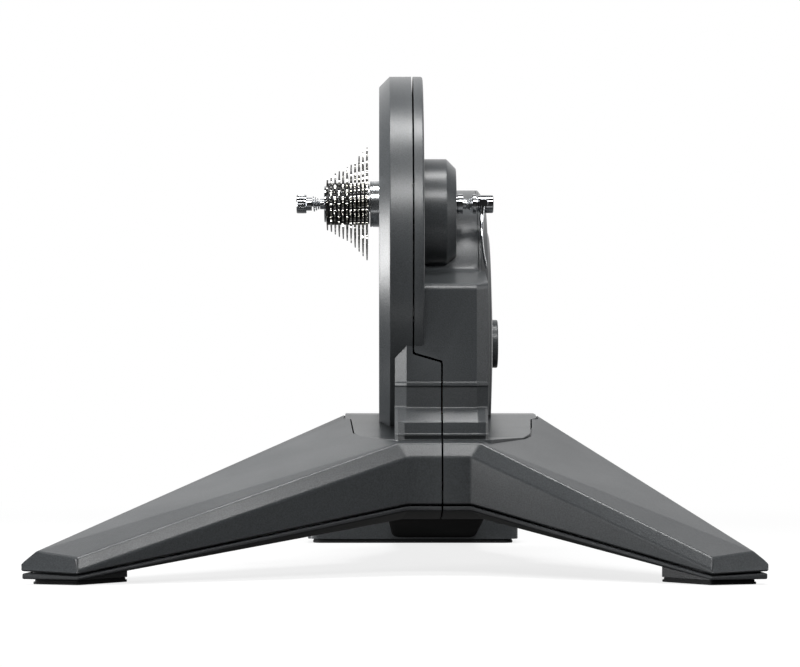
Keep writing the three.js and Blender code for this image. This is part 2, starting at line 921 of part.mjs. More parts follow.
function hubShell() {
  const bore = bearingRadius + seatGap;
  const barrel = hubCollarRadius - runGap;
  return turned(
    [
      [hubCollarLeft, bore],
      [hubCollarLeft, hubCollarRadius],
      [pulleyWebLeft - seatGap - hubFlangeThickness, hubCollarRadius],
      [pulleyWebLeft - seatGap - hubFlangeThickness, hubFlangeRadius],
      [pulleyWebLeft - seatGap, hubFlangeRadius],
      [pulleyWebLeft - seatGap, barrel],
      [hubRight, barrel],
      [hubRight, bore],
      [hubCollarLeft, bore],
    ],
    axleY,
    axleZ,
    mediumSides,
  );
}

function drivePulley() {
  const rim = onAxle(pulleyLeft, pulleyLeft + pulleyWidth, pulleyRadius, pulleyWebRadius, innerSides);
  const web = new THREE.Shape().absarc(axleY, axleZ, pulleyRadius - pulleyRimThickness / 2, 0, 2 * Math.PI);
  web.holes.push(new THREE.Path().absarc(axleY, axleZ, hubCollarRadius, 0, 2 * Math.PI, true));
  for (let i = 0; i < pulleyHoles; i++) {
    const angle = (2 * Math.PI * i) / pulleyHoles;
    const holeY = axleY + pulleyHoleCircle * Math.cos(angle);
    const holeZ = axleZ + pulleyHoleCircle * Math.sin(angle);
    web.holes.push(new THREE.Path().absarc(holeY, holeZ, pulleyHoleRadius, 0, 2 * Math.PI, true));
  }
  return rim.add(acrossX(web, pulleyWebLeft, pulleyWebLeft + pulleyWebThickness, mediumSides / 2));
}

const smallPulleyRadius = pulleyRadius / ratio;

// The belt's outline wraps both pulleys and runs straight between them.
function beltOutline(offset, path) {
  const across = flywheelY - axleY;
  const down = flywheelZ - axleZ;
  const apart = Math.hypot(across, down);
  const heading = Math.atan2(down, across);
  const lean = Math.acos((pulleyRadius - smallPulleyRadius) / apart);
  path.absarc(axleY, axleZ, pulleyRadius + offset, heading + lean, heading - lean + 2 * Math.PI);
  path.absarc(flywheelY, flywheelZ, smallPulleyRadius + offset, heading - lean, heading + lean);
  path.closePath();
  return path;
}

function driveBelt() {
  const shape = beltOutline(seatGap + beltThickness, new THREE.Shape());
  shape.holes.push(beltOutline(seatGap, new THREE.Path()));
  return acrossX(shape, pulleyMiddle - beltWidth / 2, pulleyMiddle + beltWidth / 2, innerSides / 2);
}

// Freehub and cassette. A spline's outline goes round with a groove every 40 degrees.
function splineOutline(outer, inner, path) {
  const period = (2 * Math.PI) / splineCount;
  for (let i = 0; i < splineCount; i++) {
    splineAngleShares.forEach((share, k) => {
      const angle = (i + share) * period;
      const radius = k < 2 ? outer : inner;
      const [y, z] = [axleY + radius * Math.cos(angle), axleZ + radius * Math.sin(angle)];
      if (i === 0 && k === 0) path.moveTo(y, z);
      else path.lineTo(y, z);
    });
  }
  path.closePath();
  return path;
}

const sprocketLeftOf = (i) => largestSprocketX - i * sprocketPitch - sprocketThickness / 2;
const freehubLeft = sprocketLeftOf(sprocketTeeth.length - 1) + runGap;
const freehubRight = hubCollarLeft - runGap;

function freehubBody() {
  const shape = splineOutline(freehubRadius, freehubRadius - freehubGroove, new THREE.Shape());
  shape.holes.push(new THREE.Path().absarc(axleY, axleZ, freehubBore, 0, 2 * Math.PI, true));
  const collarLeft = sprocketLeftOf(0) + sprocketThickness + seatGap;
  const collar = onAxle(collarLeft, freehubRight, freehubRadius + freehubGroove, freehubBore, mediumSides);
  return acrossX(shape, freehubLeft, collarLeft + seatGap, mediumSides / 2).add(collar);
}

function sprocket(i) {
  const teeth = sprocketTeeth[i];
  const pitchRadius = chainPitch / 2 / Math.sin(Math.PI / teeth);
  const root = pitchRadius - chainRoller / 2;
  const rise = chainRoller / 2 + toothRise;
  const period = (2 * Math.PI) / teeth;
  const shape = new THREE.Shape();
  for (let tooth = 0; tooth < teeth; tooth++) {
    toothAngleShares.forEach((share, k) => {
      const angle = (tooth + share) * period;
      const radius = root + rise * toothHeightShares[k];
      const [y, z] = [axleY + radius * Math.cos(angle), axleZ + radius * Math.sin(angle)];
      if (tooth === 0 && k === 0) shape.moveTo(y, z);
      else shape.lineTo(y, z);
    });
  }
  shape.closePath();
  const boreRadius = freehubRadius + seatGap;
  const bore = () => splineOutline(boreRadius, boreRadius - freehubGroove, new THREE.Path());
  shape.holes.push(bore());
  const left = sprocketLeftOf(i);
  const plate = acrossX(shape, left, left + sprocketThickness);
  if (i === 0) return plate;
  const spacer = new THREE.Shape().absarc(axleY, axleZ, spacerRadius, 0, 2 * Math.PI);
  spacer.holes.push(bore());
  return plate.add(acrossX(spacer, left, sprocketLeftOf(i - 1) - seatGap));
}

function lockring() {
  const right = sprocketLeftOf(sprocketTeeth.length - 1) - seatGap;
  return onAxle(right - lockringThickness, right, lockringRadius, lockringBore, mediumSides);
}

// Flywheel and brake
const flywheelLeft = housingRight + runGap;
const statorLeft = frameWebX + frameWebThickness + seatGap;
const coilLeft = statorLeft + statorThickness + seatGap;
const coilRight = Math.min(coilLeft + coilLength, flywheelLeft - brakeGap);

function flywheel() {
  return turned(
    [
      [flywheelLeft, shaftRadius + seatGap],
      [flywheelLeft, flywheelRadius],
      [flywheelLeft + flywheelThickness, flywheelRadius],
      [flywheelLeft + flywheelThickness, flywheelRadius - flywheelRim],
      [flywheelLeft + flywheelWeb, flywheelRadius - flywheelRim],
      [flywheelLeft + flywheelWeb, flywheelHubRadius],
      [flywheelLeft + flywheelThickness, flywheelHubRadius],
      [flywheelLeft + flywheelThickness, shaftRadius + seatGap],
      [flywheelLeft, shaftRadius + seatGap],
    ],
    flywheelY,
    flywheelZ,
    innerSides,
  );
}

function coilPlace(i) {
  const angle = ((i + 0.5) * 2 * Math.PI) / coilCount;
  return [flywheelY + coilCircle * Math.cos(angle), flywheelZ + coilCircle * Math.sin(angle)];
}

function brakeStator() {
  let stator = onShaft(statorLeft, statorLeft + statorThickness, statorOuter, statorInner, mediumSides);
  for (let i = 0; i < coilCount; i++) {
    const [y, z] = coilPlace(i);
    stator = stator.add(rod(statorLeft, coilRight + seatGap, coreRadius, y, z, smallSides));
  }
  return stator;
}

function brakeCoil(i) {
  const [y, z] = coilPlace(i);
  return ring(coilLeft, coilRight, coilRadius, coreRadius + seatGap, y, z, smallSides);
}

function controlBoard() {
  const front = neckFrontY + wall + seatGap;
  const left = splitX + boardBack;
  const bottom = waistTopZ + boardBack;
  return block(left, left + boardWidth / 2, front, front + boardThickness, bottom, bottom + boardHeight);
}

function powerInlet() {
  const body = inletTube(inletRadius, -inletLength, wall / 2);
  const flange = inletTube(inletFlange, seatGap, wall / 2);
  return body.add(flange).subtract(inletTube(inletBore, -inletLength + wall, overrun));
}

// Quick release
const nutLeft = dropoutLeft - stubLength - springLength - nutLength - seatGap * 2;
const nutRight = nutLeft + nutLength;
const flangeLeft = dropoutRight + stubLength + springLength - flangeLength / 2;
const headLeft = flangeLeft + flangeLength;
const headRight = headLeft + headLength;
const pivotX = headLeft + camSetback;
const leverBack = axleY - headRadius - seatGap;
const leverFront = leverBack - leverEyeWidth;
const leverEnd = axleZ - leverLength;

// The least gap of a wound wire to itself, over pairs of points more than half a turn apart.
function leastGap(places) {
  const apart = Math.ceil(springSteps / 2);
  let least = Infinity;
  places.forEach((place, i) => {
    for (let j = i + apart; j < places.length; j++) least = Math.min(least, place.distanceTo(places[j]));
  });
  return least - springWire;
}

// A conical spring round the axle line, from its large end to its small end.
function coneSpring(fromX, toX) {
  const places = [];
  const steps = Math.round(springTurns * springSteps);
  for (let i = 0; i <= steps; i++) {
    const share = i / steps;
    const angle = 2 * Math.PI * springTurns * share;
    const radius = springLargeRadius + (springSmallRadius - springLargeRadius) * share;
    places.push(
      new THREE.Vector3(
        fromX + (toX - fromX) * share,
        axleY + radius * Math.cos(angle),
        axleZ + radius * Math.sin(angle),
      ),
    );
  }
  console.log(`spring from x ${fromX.toFixed(1)}: least gap to itself ${leastGap(places).toFixed(2)} mm`);
  const section = new THREE.Shape().absarc(0, 0, springWire / 2, 0, 2 * Math.PI);
  const geometry = new THREE.ExtrudeGeometry(section, {
    steps,
    curveSegments: 2,
    bevelEnabled: false,
    extrudePath: new THREE.CatmullRomCurve3(places),
  });
  return solidOf(geometry);
}

function skewerNut() {
  return turned(
    [
      [nutLeft, 0],
      [nutLeft, nutRadius],
      [nutRight - nutCollarLength, nutRadius],
      [nutRight - nutCollarLength, nutCollarRadius],
      [nutRight, nutCollarRadius],
      [nutRight, rodRadius + seatGap],
      [nutLeft + wall, rodRadius + seatGap],
      [nutLeft + wall, 0],
    ],
    axleY,
    axleZ,
    smallSides,
  );
}

function skewerRod() {
  return rod(nutLeft + wall + seatGap, headLeft + wall / 2, rodRadius, axleY, axleZ, smallSides);
}

// A round bar along the lever's cross axis.
function crossBar(radius, front, back) {
  return alongY(new THREE.Shape().absarc(pivotX, axleZ, radius, 0, 2 * Math.PI), front, back);
}

function skewerHead() {
  return rod(flangeLeft, headLeft, flangeRadius, axleY, axleZ, mediumSides)
    .add(rod(headLeft, headRight, headRadius, axleY, axleZ, mediumSides))
    .subtract(crossBar(camRadius + seatGap, axleY - headRadius - overrun, axleY + headRadius + overrun))
    .subtract(rod(flangeLeft - overrun, pivotX, rodRadius + seatGap, axleY, axleZ, smallSides));
}

// The lever seen from the front: it hangs from its eye, dips inwards and bows out at its end.
function leverFace() {
  const half = leverThickness / 2;
  const middle = axleZ - leverLength / 2;
  const shape = new THREE.Shape();
  shape.moveTo(pivotX - leverEyeRadius, axleZ);
  shape.absarc(pivotX, axleZ, leverEyeRadius, Math.PI, 0, true);
  shape.quadraticCurveTo(pivotX - leverDip + half, middle, pivotX + leverBow + half, leverEnd);
  shape.lineTo(pivotX + leverBow - half, leverEnd);
  shape.quadraticCurveTo(pivotX - leverDip - half, middle, pivotX - leverEyeRadius, axleZ);
  return shape;
}

// The lever seen from the side: it leans to the front and widens to a paddle with cut corners.
function leverSide() {
  const half = paddleWidth / 2;
  const eyeY = (leverFront + leverBack) / 2;
  const wideZ = axleZ - paddleStart;
  const wideY = eyeY - (leverLean * paddleStart) / leverLength;
  const endY = eyeY - leverLean;
  return outline([
    [leverBack, axleZ + leverEyeRadius + overrun],
    [leverBack, axleZ - leverEyeRadius],
    [wideY + half, wideZ],
    [endY + half, leverEnd + half],
    [endY + half / 2, leverEnd],
    [endY - half / 2, leverEnd],
    [endY - half, leverEnd + half],
    [wideY - half, wideZ],
    [leverFront, axleZ - leverEyeRadius],
    [leverFront, axleZ + leverEyeRadius + overrun],
  ]);
}

function skewerLever() {
  const arm = alongY(leverFace(), leverFront - leverLength, leverBack);
  const side = acrossX(leverSide(), pivotX - leverLength, pivotX + leverLength);
  const cam = crossBar(camRadius, leverFront, axleY + headRadius - camInset);
  return arm.intersect(side).add(cam);
}

const group = new THREE.Group();

function finish(colour, roughness, metalness) {
  return { color: new THREE.Color(colour), roughness, metalness };
}

const looks = {
  casing: finish("#45484b", 0.55, 0),
  cover: finish("#2f3133", 0.6, 0),
  rubber: finish("#151617", 0.9, 0),
  castFrame: finish("#6d7074", 0.5, 0.8),
  darkSteel: finish("#3a3d40", 0.45, 1),
  steel: finish("#9a9da0", 0.35, 1),
  chrome: finish("#d3d5d7", 0.15, 1),
  nickel: finish("#c4c4c0", 0.25, 1),
  aluminium: finish("#b4b7ba", 0.35, 1),
  copper: finish("#a35a32", 0.4, 0.9),
  board: finish("#1f4a33", 0.6, 0),
};

function piece(name, solid, look) {
  const mesh = new THREE.Mesh(geometryOf(solid), new THREE.MeshStandardMaterial(looks[look]));
  mesh.name = name;
  group.add(mesh);
}

piece("left_casing", leftCasing, "casing");
piece("right_casing", rightCasing, "casing");
piece("flywheel_cover", flywheelCover(), "casing");
piece("flywheel_cap", flywheelCap(), "casing");
piece("left_leg_shell", legShell(-1), "casing");
piece("right_leg_shell", legShell(1), "casing");
piece("left_leg_cover", legCover(-1), "cover");
piece("right_leg_cover", legCover(1), "cover");
piece("left_foot_pad", upZ(footPlan(-1), 0, padThickness), "rubber");
piece("right_foot_pad", upZ(footPlan(1), 0, padThickness), "rubber");
piece("rear_leg_shell", rearLegShell(), "casing");
piece("rear_leg_cover", rearLegCover(), "cover");
piece("rear_beam", rearBeam(), "darkSteel");
piece("rear_foot", rearFoot(), "casing");
piece("rear_foot_pad", upZ(rearFootPlan(padInset), 0, padThickness), "rubber");
piece("main_frame", mainFrame(), "castFrame");

piece("axle", axle(), "steel");
const endCap = (left, right) => onAxle(left, right, endCapRadius, stubRadius + seatGap, smallSides);
piece("left_end_cap", endCap(dropoutLeft, leftCapRight), "chrome");
piece("right_end_cap", endCap(rightCapLeft, dropoutRight), "chrome");

const axleSleeve = axleRadius + seatGap;
const freehubBearing = (left) =>
  onAxle(left, left + freehubBearingWidth, freehubBore - seatGap, axleSleeve, mediumSides);
const hubBearing = (left) => onAxle(left, left + bearingWidth, bearingRadius, axleSleeve, smallSides);
piece("freehub_bearing_outer", freehubBearing(leftCapRight + seatGap), "steel");
piece("freehub_bearing_inner", freehubBearing(freehubRight - seatGap - freehubBearingWidth), "steel");
piece("hub_bearing_left", hubBearing(hubCollarLeft), "steel");
piece("hub_bearing_right", hubBearing(hubRight - bearingWidth), "steel");
piece("hub_shell", hubShell(), "aluminium");
piece("drive_pulley", drivePulley(), "aluminium");
piece("drive_belt", driveBelt(), "rubber");
piece("freehub_body", freehubBody(), "aluminium");
sprocketTeeth.forEach((teeth, i) => piece(`sprocket_${teeth}`, sprocket(i), "nickel"));
piece("lockring", lockring(), "chrome");

const shaftSleeve = shaftRadius + seatGap;
const shaftLeft = pulleyLeft - wall;
const shaftRight = flywheelLeft + flywheelThickness + wall;
const shaftBearing = (left) => onShaft(left, left + bearingWidth, bearingRadius, shaftSleeve, smallSides);
const pulleyRight = pulleyLeft + pulleyWidth;
piece("flywheel", flywheel(), "steel");
piece("flywheel_shaft", rod(shaftLeft, shaftRight, shaftRadius, flywheelY, flywheelZ, smallSides), "steel");
piece("small_pulley", onShaft(pulleyLeft, pulleyRight, smallPulleyRadius, shaftSleeve, mediumSides), "steel");
piece("flywheel_bearing_left", shaftBearing(housingLeft), "steel");
piece("flywheel_bearing_right", shaftBearing(housingRight - bearingWidth), "steel");
piece("brake_stator", brakeStator(), "darkSteel");
for (let i = 0; i < coilCount; i++) piece(`brake_coil_${i + 1}`, brakeCoil(i), "copper");
piece("control_board", controlBoard(), "board");
piece("power_inlet", powerInlet(), "cover");

const springSeat = springWire / 2 + seatGap;
const stubRight = dropoutRight + stubLength;
piece("skewer_rod", skewerRod(), "steel");
piece("skewer_nut", skewerNut(), "chrome");
piece("skewer_head", skewerHead(), "chrome");
piece("skewer_lever", skewerLever(), "chrome");
piece("nut_side_spring", coneSpring(nutRight + springSeat, dropoutLeft - stubLength - springSeat), "steel");
piece("lever_side_spring", coneSpring(flangeLeft - springSeat, stubRight + springSeat), "steel");

export default group;
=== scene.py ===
import math

import bmesh
import bpy
from mathutils import Matrix, Vector


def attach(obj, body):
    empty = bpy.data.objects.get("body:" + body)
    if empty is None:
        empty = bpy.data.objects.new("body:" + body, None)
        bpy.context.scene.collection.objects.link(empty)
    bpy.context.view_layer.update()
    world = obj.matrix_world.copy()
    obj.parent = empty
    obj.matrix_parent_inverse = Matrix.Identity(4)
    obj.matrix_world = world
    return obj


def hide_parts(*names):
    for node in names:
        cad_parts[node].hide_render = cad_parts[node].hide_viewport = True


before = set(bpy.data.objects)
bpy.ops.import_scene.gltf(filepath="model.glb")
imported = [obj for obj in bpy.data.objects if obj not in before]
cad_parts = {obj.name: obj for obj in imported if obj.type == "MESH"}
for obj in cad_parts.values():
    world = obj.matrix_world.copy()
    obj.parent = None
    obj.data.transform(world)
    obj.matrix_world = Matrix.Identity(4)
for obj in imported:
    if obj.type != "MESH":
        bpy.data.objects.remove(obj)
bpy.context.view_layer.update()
mm = 0.001

# Places of the trainer, in millimetres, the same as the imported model's
place = {
    "axleY": -85, "axleZ": 340, "discY": -40, "discZ": 293.2, "bossZ": 331,
    "flywheelY": 30, "flywheelZ": 210, "baseX": 45, "splitX": 43.3, "seam": 1.6, "wall": 3, "gap": 0.3,
}
axleLine = (place["axleY"], place["axleZ"])
flywheelLine = (place["flywheelY"], place["flywheelZ"])
wall, gap = place["wall"], place["gap"]

# Camera, backdrop, floor and lamps
view = {"lens": 128.4, "sensor": 36, "spot": (-0.0127, -2.765, 0.179), "shift": (0.025, 0.0525), "clipEnd": 50}


def makeCamera(view):
    data = bpy.data.cameras.new("viewCamera")
    data.lens, data.sensor_width = view["lens"], view["sensor"]
    data.shift_x, data.shift_y = view["shift"]
    data.clip_end = view["clipEnd"]
    camera = bpy.data.objects.new("viewCamera", data)
    camera.location = view["spot"]
    camera.rotation_euler = (math.radians(90), 0, 0)
    bpy.context.scene.collection.objects.link(camera)
    bpy.context.scene.camera = camera


makeCamera(view)
bpy.context.scene.view_settings.view_transform = "Standard"
print("camera is set")


def toLinear(hexColour):
    parts = [int(hexColour[i:i + 2], 16) / 255 for i in (1, 3, 5)]
    return tuple(c / 12.92 if c <= 0.04045 else ((c + 0.055) / 1.055) ** 2.4 for c in parts) + (1.0,)


def addNode(tree, kind, settings=None, links=None):
    # A setting goes to the socket of that name or number, or else to the node; a hex colour turns linear
    node = tree.nodes.new(kind)
    for key, value in (settings or {}).items():
        value = toLinear(value) if str(value).startswith("#") else value
        if isinstance(key, int) or key in node.inputs:
            node.inputs[key].default_value = value
        else:
            setattr(node, key, value)
    for key, socket in (links or {}).items():
        tree.links.new(socket, node.inputs[key])
    return node


def newMaterial(name):
    material = bpy.data.materials.new(name)
    material.use_nodes = True
    material.node_tree.nodes.clear()
    return material, material.node_tree


lamps = [
    {"name": "overheadBank", "spot": (-0.1, -0.28, 1.9), "aim": (-0.1, -0.16, 0.3),
     "size": (1.5, 0.38), "power": 31},
    {"name": "highFrontBank", "spot": (0.3, -1.75, 1.6), "aim": (0.3, -0.15, 0.3),
     "size": (1.5, 0.3), "power": 30},
    {"name": "leftPanel", "spot": (-1.8, -0.12, 0.34), "aim": (0, -0.12, 0.3),
     "size": (0.6, 0.7), "power": 37},
    {"name": "leftFrontPanel", "spot": (-1.8, -0.9, 0.24), "aim": (0, -0.19, 0.22),
     "size": (0.4, 0.24), "power": 5},
    {"name": "leftFarPanel", "spot": (-1.5, -2.05, 0.3), "aim": (0.25, -0.31, 0.06),
     "size": (0.3, 0.4), "power": 5},
    {"name": "rightPanel", "spot": (1.9, -0.5, 0.75), "aim": (0, 0, 0.2),
     "size": (0.5, 0.9), "power": 8},
]


def makeLamps(lamps):
    for lamp in lamps:
        data = bpy.data.lights.new(lamp["name"], "AREA")
        data.shape = "RECTANGLE"
        data.size, data.size_y = lamp["size"]
        data.energy = lamp["power"]
        item = bpy.data.objects.new(lamp["name"], data)
        item.location = lamp["spot"]
        item.rotation_euler = (Vector(lamp["aim"]) - item.location).to_track_quat("-Z", "Y").to_euler()
        bpy.context.scene.collection.objects.link(item)


backdrop = {"colour": "#ffffff", "ambient": "#c9ccd0", "ambientStrength": 0.09, "cameraSide": 0.04,
            "farSide": 1.0, "turnFrom": 0.2, "turnTo": 0.8}


def makeWorld(backdrop):
    world = bpy.data.worlds.new("studio")
    bpy.context.scene.world = world
    world.use_nodes = True
    tree = world.node_tree
    tree.nodes.clear()
    path = addNode(tree, "ShaderNodeLightPath").outputs
    seen = addNode(tree, "ShaderNodeMath", {"operation": "MAXIMUM"},
                   {0: path["Is Camera Ray"], 1: path["Is Glossy Ray"]})
    through = addNode(tree, "ShaderNodeMath", {"operation": "MAXIMUM"},
                      {0: seen.outputs[0], 1: path["Is Transmission Ray"]})
    ambient = addNode(tree, "ShaderNodeBackground",
                      {"Color": backdrop["ambient"], "Strength": backdrop["ambientStrength"]})
    # Gloss sees the white backdrop, and an unlit room on the photographer's side
    way = addNode(tree, "ShaderNodeTexCoord").outputs["Generated"]
    parts = addNode(tree, "ShaderNodeSeparateXYZ", None, {0: way})
    room = addNode(tree, "ShaderNodeMapRange",
                   {"From Min": backdrop["turnFrom"], "From Max": backdrop["turnTo"],
                    "To Min": backdrop["cameraSide"], "To Max": backdrop["farSide"],
                    "interpolation_type": "SMOOTHSTEP"}, {"Value": parts.outputs["Y"]})
    level = addNode(tree, "ShaderNodeMath", {"operation": "MAXIMUM"},
                    {0: room.outputs[0], 1: path["Is Camera Ray"]})
    white = addNode(tree, "ShaderNodeBackground", {"Color": backdrop["colour"]}, {"Strength": level.outputs[0]})
    mix = addNode(tree, "ShaderNodeMixShader", None,
                  {0: through.outputs[0], 1: ambient.outputs[0], 2: white.outputs[0]})
    addNode(tree, "ShaderNodeOutputWorld", None, {"Surface": mix.outputs[0]})


makeLamps(lamps)
makeWorld(backdrop)


floorTone = {"paint": "#2c2c2c", "white": "#ffffff", "nearShare": 0.8, "nearReach": 0.45, "farReach": 1.3,
             "unlit": 0.04, "gleam": 0.4, "gleamFromY": -0.2, "gleamToY": 0.6, "glossStripY": -0.5,
             "glossStripHalf": 0.05, "reach": 30.0, "sink": 0.0004}


def makeFloor(tone):
    # White sweep: the camera sees it white but for a soft shadow, and gloss sees its near side unlit and a
    # narrow bright strip across it, a painted reflection
    material, tree = newMaterial("paintedStudioFloor")
    path = addNode(tree, "ShaderNodeLightPath").outputs
    spot = addNode(tree, "ShaderNodeNewGeometry").outputs["Position"]
    distance = addNode(tree, "ShaderNodeVectorMath", {"operation": "LENGTH"}, {0: spot})
    share = addNode(tree, "ShaderNodeMapRange",
                    {"From Min": tone["nearReach"], "From Max": tone["farReach"],
                     "To Min": tone["nearShare"], "To Max": 1.0, "interpolation_type": "SMOOTHSTEP"},
                    {"Value": distance.outputs["Value"]})
    shown = addNode(tree, "ShaderNodeMath", {"operation": "MULTIPLY"},
                    {0: share.outputs[0], 1: path["Is Camera Ray"]})
    depth = addNode(tree, "ShaderNodeSeparateXYZ", None, {0: spot}).outputs["Y"]
    behind = addNode(tree, "ShaderNodeMapRange",
                     {"From Min": tone["gleamFromY"], "From Max": tone["gleamToY"],
                      "To Min": tone["unlit"], "To Max": tone["gleam"], "interpolation_type": "SMOOTHSTEP"},
                     {"Value": depth})
    # A narrow band across the floor that gloss alone sees bright: a painted reflection that lays white dashes on
    # the chrome and the sprockets
    glossStrip = addNode(tree, "ShaderNodeMath",
                   {"operation": "COMPARE", 1: tone["glossStripY"], 2: tone["glossStripHalf"]}, {0: depth})
    bright = addNode(tree, "ShaderNodeMath", {"operation": "MAXIMUM"},
                    {0: behind.outputs[0], 1: glossStrip.outputs[0]})
    mirrored = addNode(tree, "ShaderNodeMath", {"operation": "MAXIMUM"},
                       {0: path["Is Glossy Ray"], 1: path["Is Transmission Ray"]})
    gleam = addNode(tree, "ShaderNodeMath", {"operation": "MULTIPLY"},
                    {0: bright.outputs[0], 1: mirrored.outputs[0]})
    level = addNode(tree, "ShaderNodeMath", {"operation": "MAXIMUM"}, {0: shown.outputs[0], 1: gleam.outputs[0]})
    colour = addNode(tree, "ShaderNodeMix", {"data_type": "RGBA", 6: tone["paint"], 7: tone["white"]},
                     {0: path["Is Camera Ray"]})
    paint = addNode(tree, "ShaderNodeBsdfDiffuse", None, {"Color": colour.outputs[2]})
    glow = addNode(tree, "ShaderNodeEmission", {"Color": tone["white"], "Strength": 1.0})
    mix = addNode(tree, "ShaderNodeMixShader", None,
                  {0: level.outputs[0], 1: paint.outputs[0], 2: glow.outputs[0]})
    addNode(tree, "ShaderNodeOutputMaterial", None, {"Surface": mix.outputs[0]})
    mesh = bpy.data.meshes.new("studioFloor")
    r = tone["reach"]
    mesh.from_pydata([(-r, -r, 0), (r, -r, 0), (r, r, 0), (-r, r, 0)], [], [(0, 1, 2, 3)])
    mesh.materials.append(material)
    floor = bpy.data.objects.new("studioFloor", mesh)
    floor.location.z = -tone["sink"]
    bpy.context.scene.collection.objects.link(floor)


makeFloor(floorTone)
print("floor, backdrop and lamps are set")


# Finishes. Each is named for the real material and how its surface was made; some also carry painted shade or
# highlights.
mouldLook = {"patchMm": 90, "depthMm": 0.15, "glossSpread": 0.04, "edgeHighlightFrom": 0.52, "edgeHighlightTo": 0.62}


def mouldedPlastic(finish):
    # Spark-eroded mould texture: a fine even grain that spreads the highlights, with paler convex edges as a
    # painted edge highlight
    material, tree = newMaterial(finish["name"])
    look, rough = mouldLook, finish["rough"]
    point = addNode(tree, "ShaderNodeTexCoord").outputs["Object"]
    grain = addNode(tree, "ShaderNodeTexNoise",
                    {"Scale": 1 / (finish["grainMm"] * mm), "Detail": 2.0, "Roughness": 0.6},
                    {"Vector": point}).outputs["Fac"]
    patches = addNode(tree, "ShaderNodeTexNoise", {"Scale": 1 / (look["patchMm"] * mm), "Detail": 3.0},
                      {"Vector": point})
    speckle = addNode(tree, "ShaderNodeMapRange", {"From Min": 0.3, "From Max": 0.7}, {"Value": grain})
    colour = addNode(tree, "ShaderNodeMix", {"data_type": "RGBA", 6: finish["dark"], 7: finish["light"]},
                     {0: speckle.outputs[0]})
    edge = addNode(tree, "ShaderNodeNewGeometry").outputs["Pointiness"]
    edgeHighlightMask = addNode(tree, "ShaderNodeMapRange",
                   {"From Min": look["edgeHighlightFrom"], "From Max": look["edgeHighlightTo"], "To Max": finish["edgeHighlightShare"]},
                   {"Value": edge})
    # The paler edge colour is a painted highlight along the convex edges
    edgeHighlighted = addNode(tree, "ShaderNodeMix", {"data_type": "RGBA", 7: finish["edge"]},
                   {0: edgeHighlightMask.outputs[0], 6: colour.outputs[2]})
    gloss = addNode(tree, "ShaderNodeMapRange",
                    {"From Min": 0.3, "From Max": 0.7, "To Min": rough - look["glossSpread"],
                     "To Max": rough + look["glossSpread"]}, {"Value": patches.outputs["Fac"]})
    bump = addNode(tree, "ShaderNodeBump", {"Strength": finish["bump"], "Distance": look["depthMm"] * mm},
                   {"Height": grain})
    shader = addNode(tree, "ShaderNodeBsdfPrincipled", {"IOR": 1.5, "Specular IOR Level": finish["specular"]},
                     {"Base Color": edgeHighlighted.outputs[2], "Roughness": gloss.outputs[0], "Normal": bump.outputs[0]})
    addNode(tree, "ShaderNodeOutputMaterial", None, {"Surface": shader.outputs[0]})
    return material


metalLook = {"stainMm": 14, "depthMm": 0.05, "glossLow": 0.8, "glossHigh": 1.25}


def workedMetal(finish):
    # Plated, ground or turned metal: fine tool marks round the axis that it turned on, and slight stains
    material, tree = newMaterial(finish["name"])
    look, rough = metalLook, finish["rough"]
    point = addNode(tree, "ShaderNodeTexCoord").outputs["Object"]
    y, z = finish["axis"]
    shift = addNode(tree, "ShaderNodeVectorMath", {"operation": "SUBTRACT", 1: (0, y * mm, z * mm)}, {0: point})
    parts = addNode(tree, "ShaderNodeSeparateXYZ", None, {0: shift.outputs[0]}).outputs
    flat = addNode(tree, "ShaderNodeCombineXYZ", None, {1: parts[1], 2: parts[2]})
    radius = addNode(tree, "ShaderNodeVectorMath", {"operation": "LENGTH"}, {0: flat.outputs[0]})
    along = addNode(tree, "ShaderNodeCombineXYZ", None, {0: radius.outputs[1], 1: parts[0]})
    marks = addNode(tree, "ShaderNodeTexNoise",
                    {"Scale": 1 / (finish["markMm"] * mm), "Detail": 2.0, "Roughness": 0.7},
                    {"Vector": along.outputs[0]}).outputs["Fac"]
    stains = addNode(tree, "ShaderNodeTexNoise", {"Scale": 1 / (look["stainMm"] * mm), "Detail": 4.0},
                     {"Vector": point})
    tone = addNode(tree, "ShaderNodeMapRange", {"From Min": 0.35, "From Max": 0.7},
                   {"Value": stains.outputs["Fac"]})
    colour = addNode(tree, "ShaderNodeMix", {"data_type": "RGBA", 6: finish["light"], 7: finish["dark"]},
                     {0: tone.outputs[0]})
    gloss = addNode(tree, "ShaderNodeMapRange",
                    {"From Min": 0.3, "From Max": 0.7, "To Min": rough * look["glossLow"],
                     "To Max": rough * look["glossHigh"]}, {"Value": marks})
    bump = addNode(tree, "ShaderNodeBump", {"Strength": finish["bump"], "Distance": look["depthMm"] * mm},
                   {"Height": marks})
    shader = addNode(tree, "ShaderNodeBsdfPrincipled", {"Metallic": finish["metallic"]},
                     {"Base Color": colour.outputs[2], "Roughness": gloss.outputs[0], "Normal": bump.outputs[0]})
    addNode(tree, "ShaderNodeOutputMaterial", None, {"Surface": shader.outputs[0]})
    return material


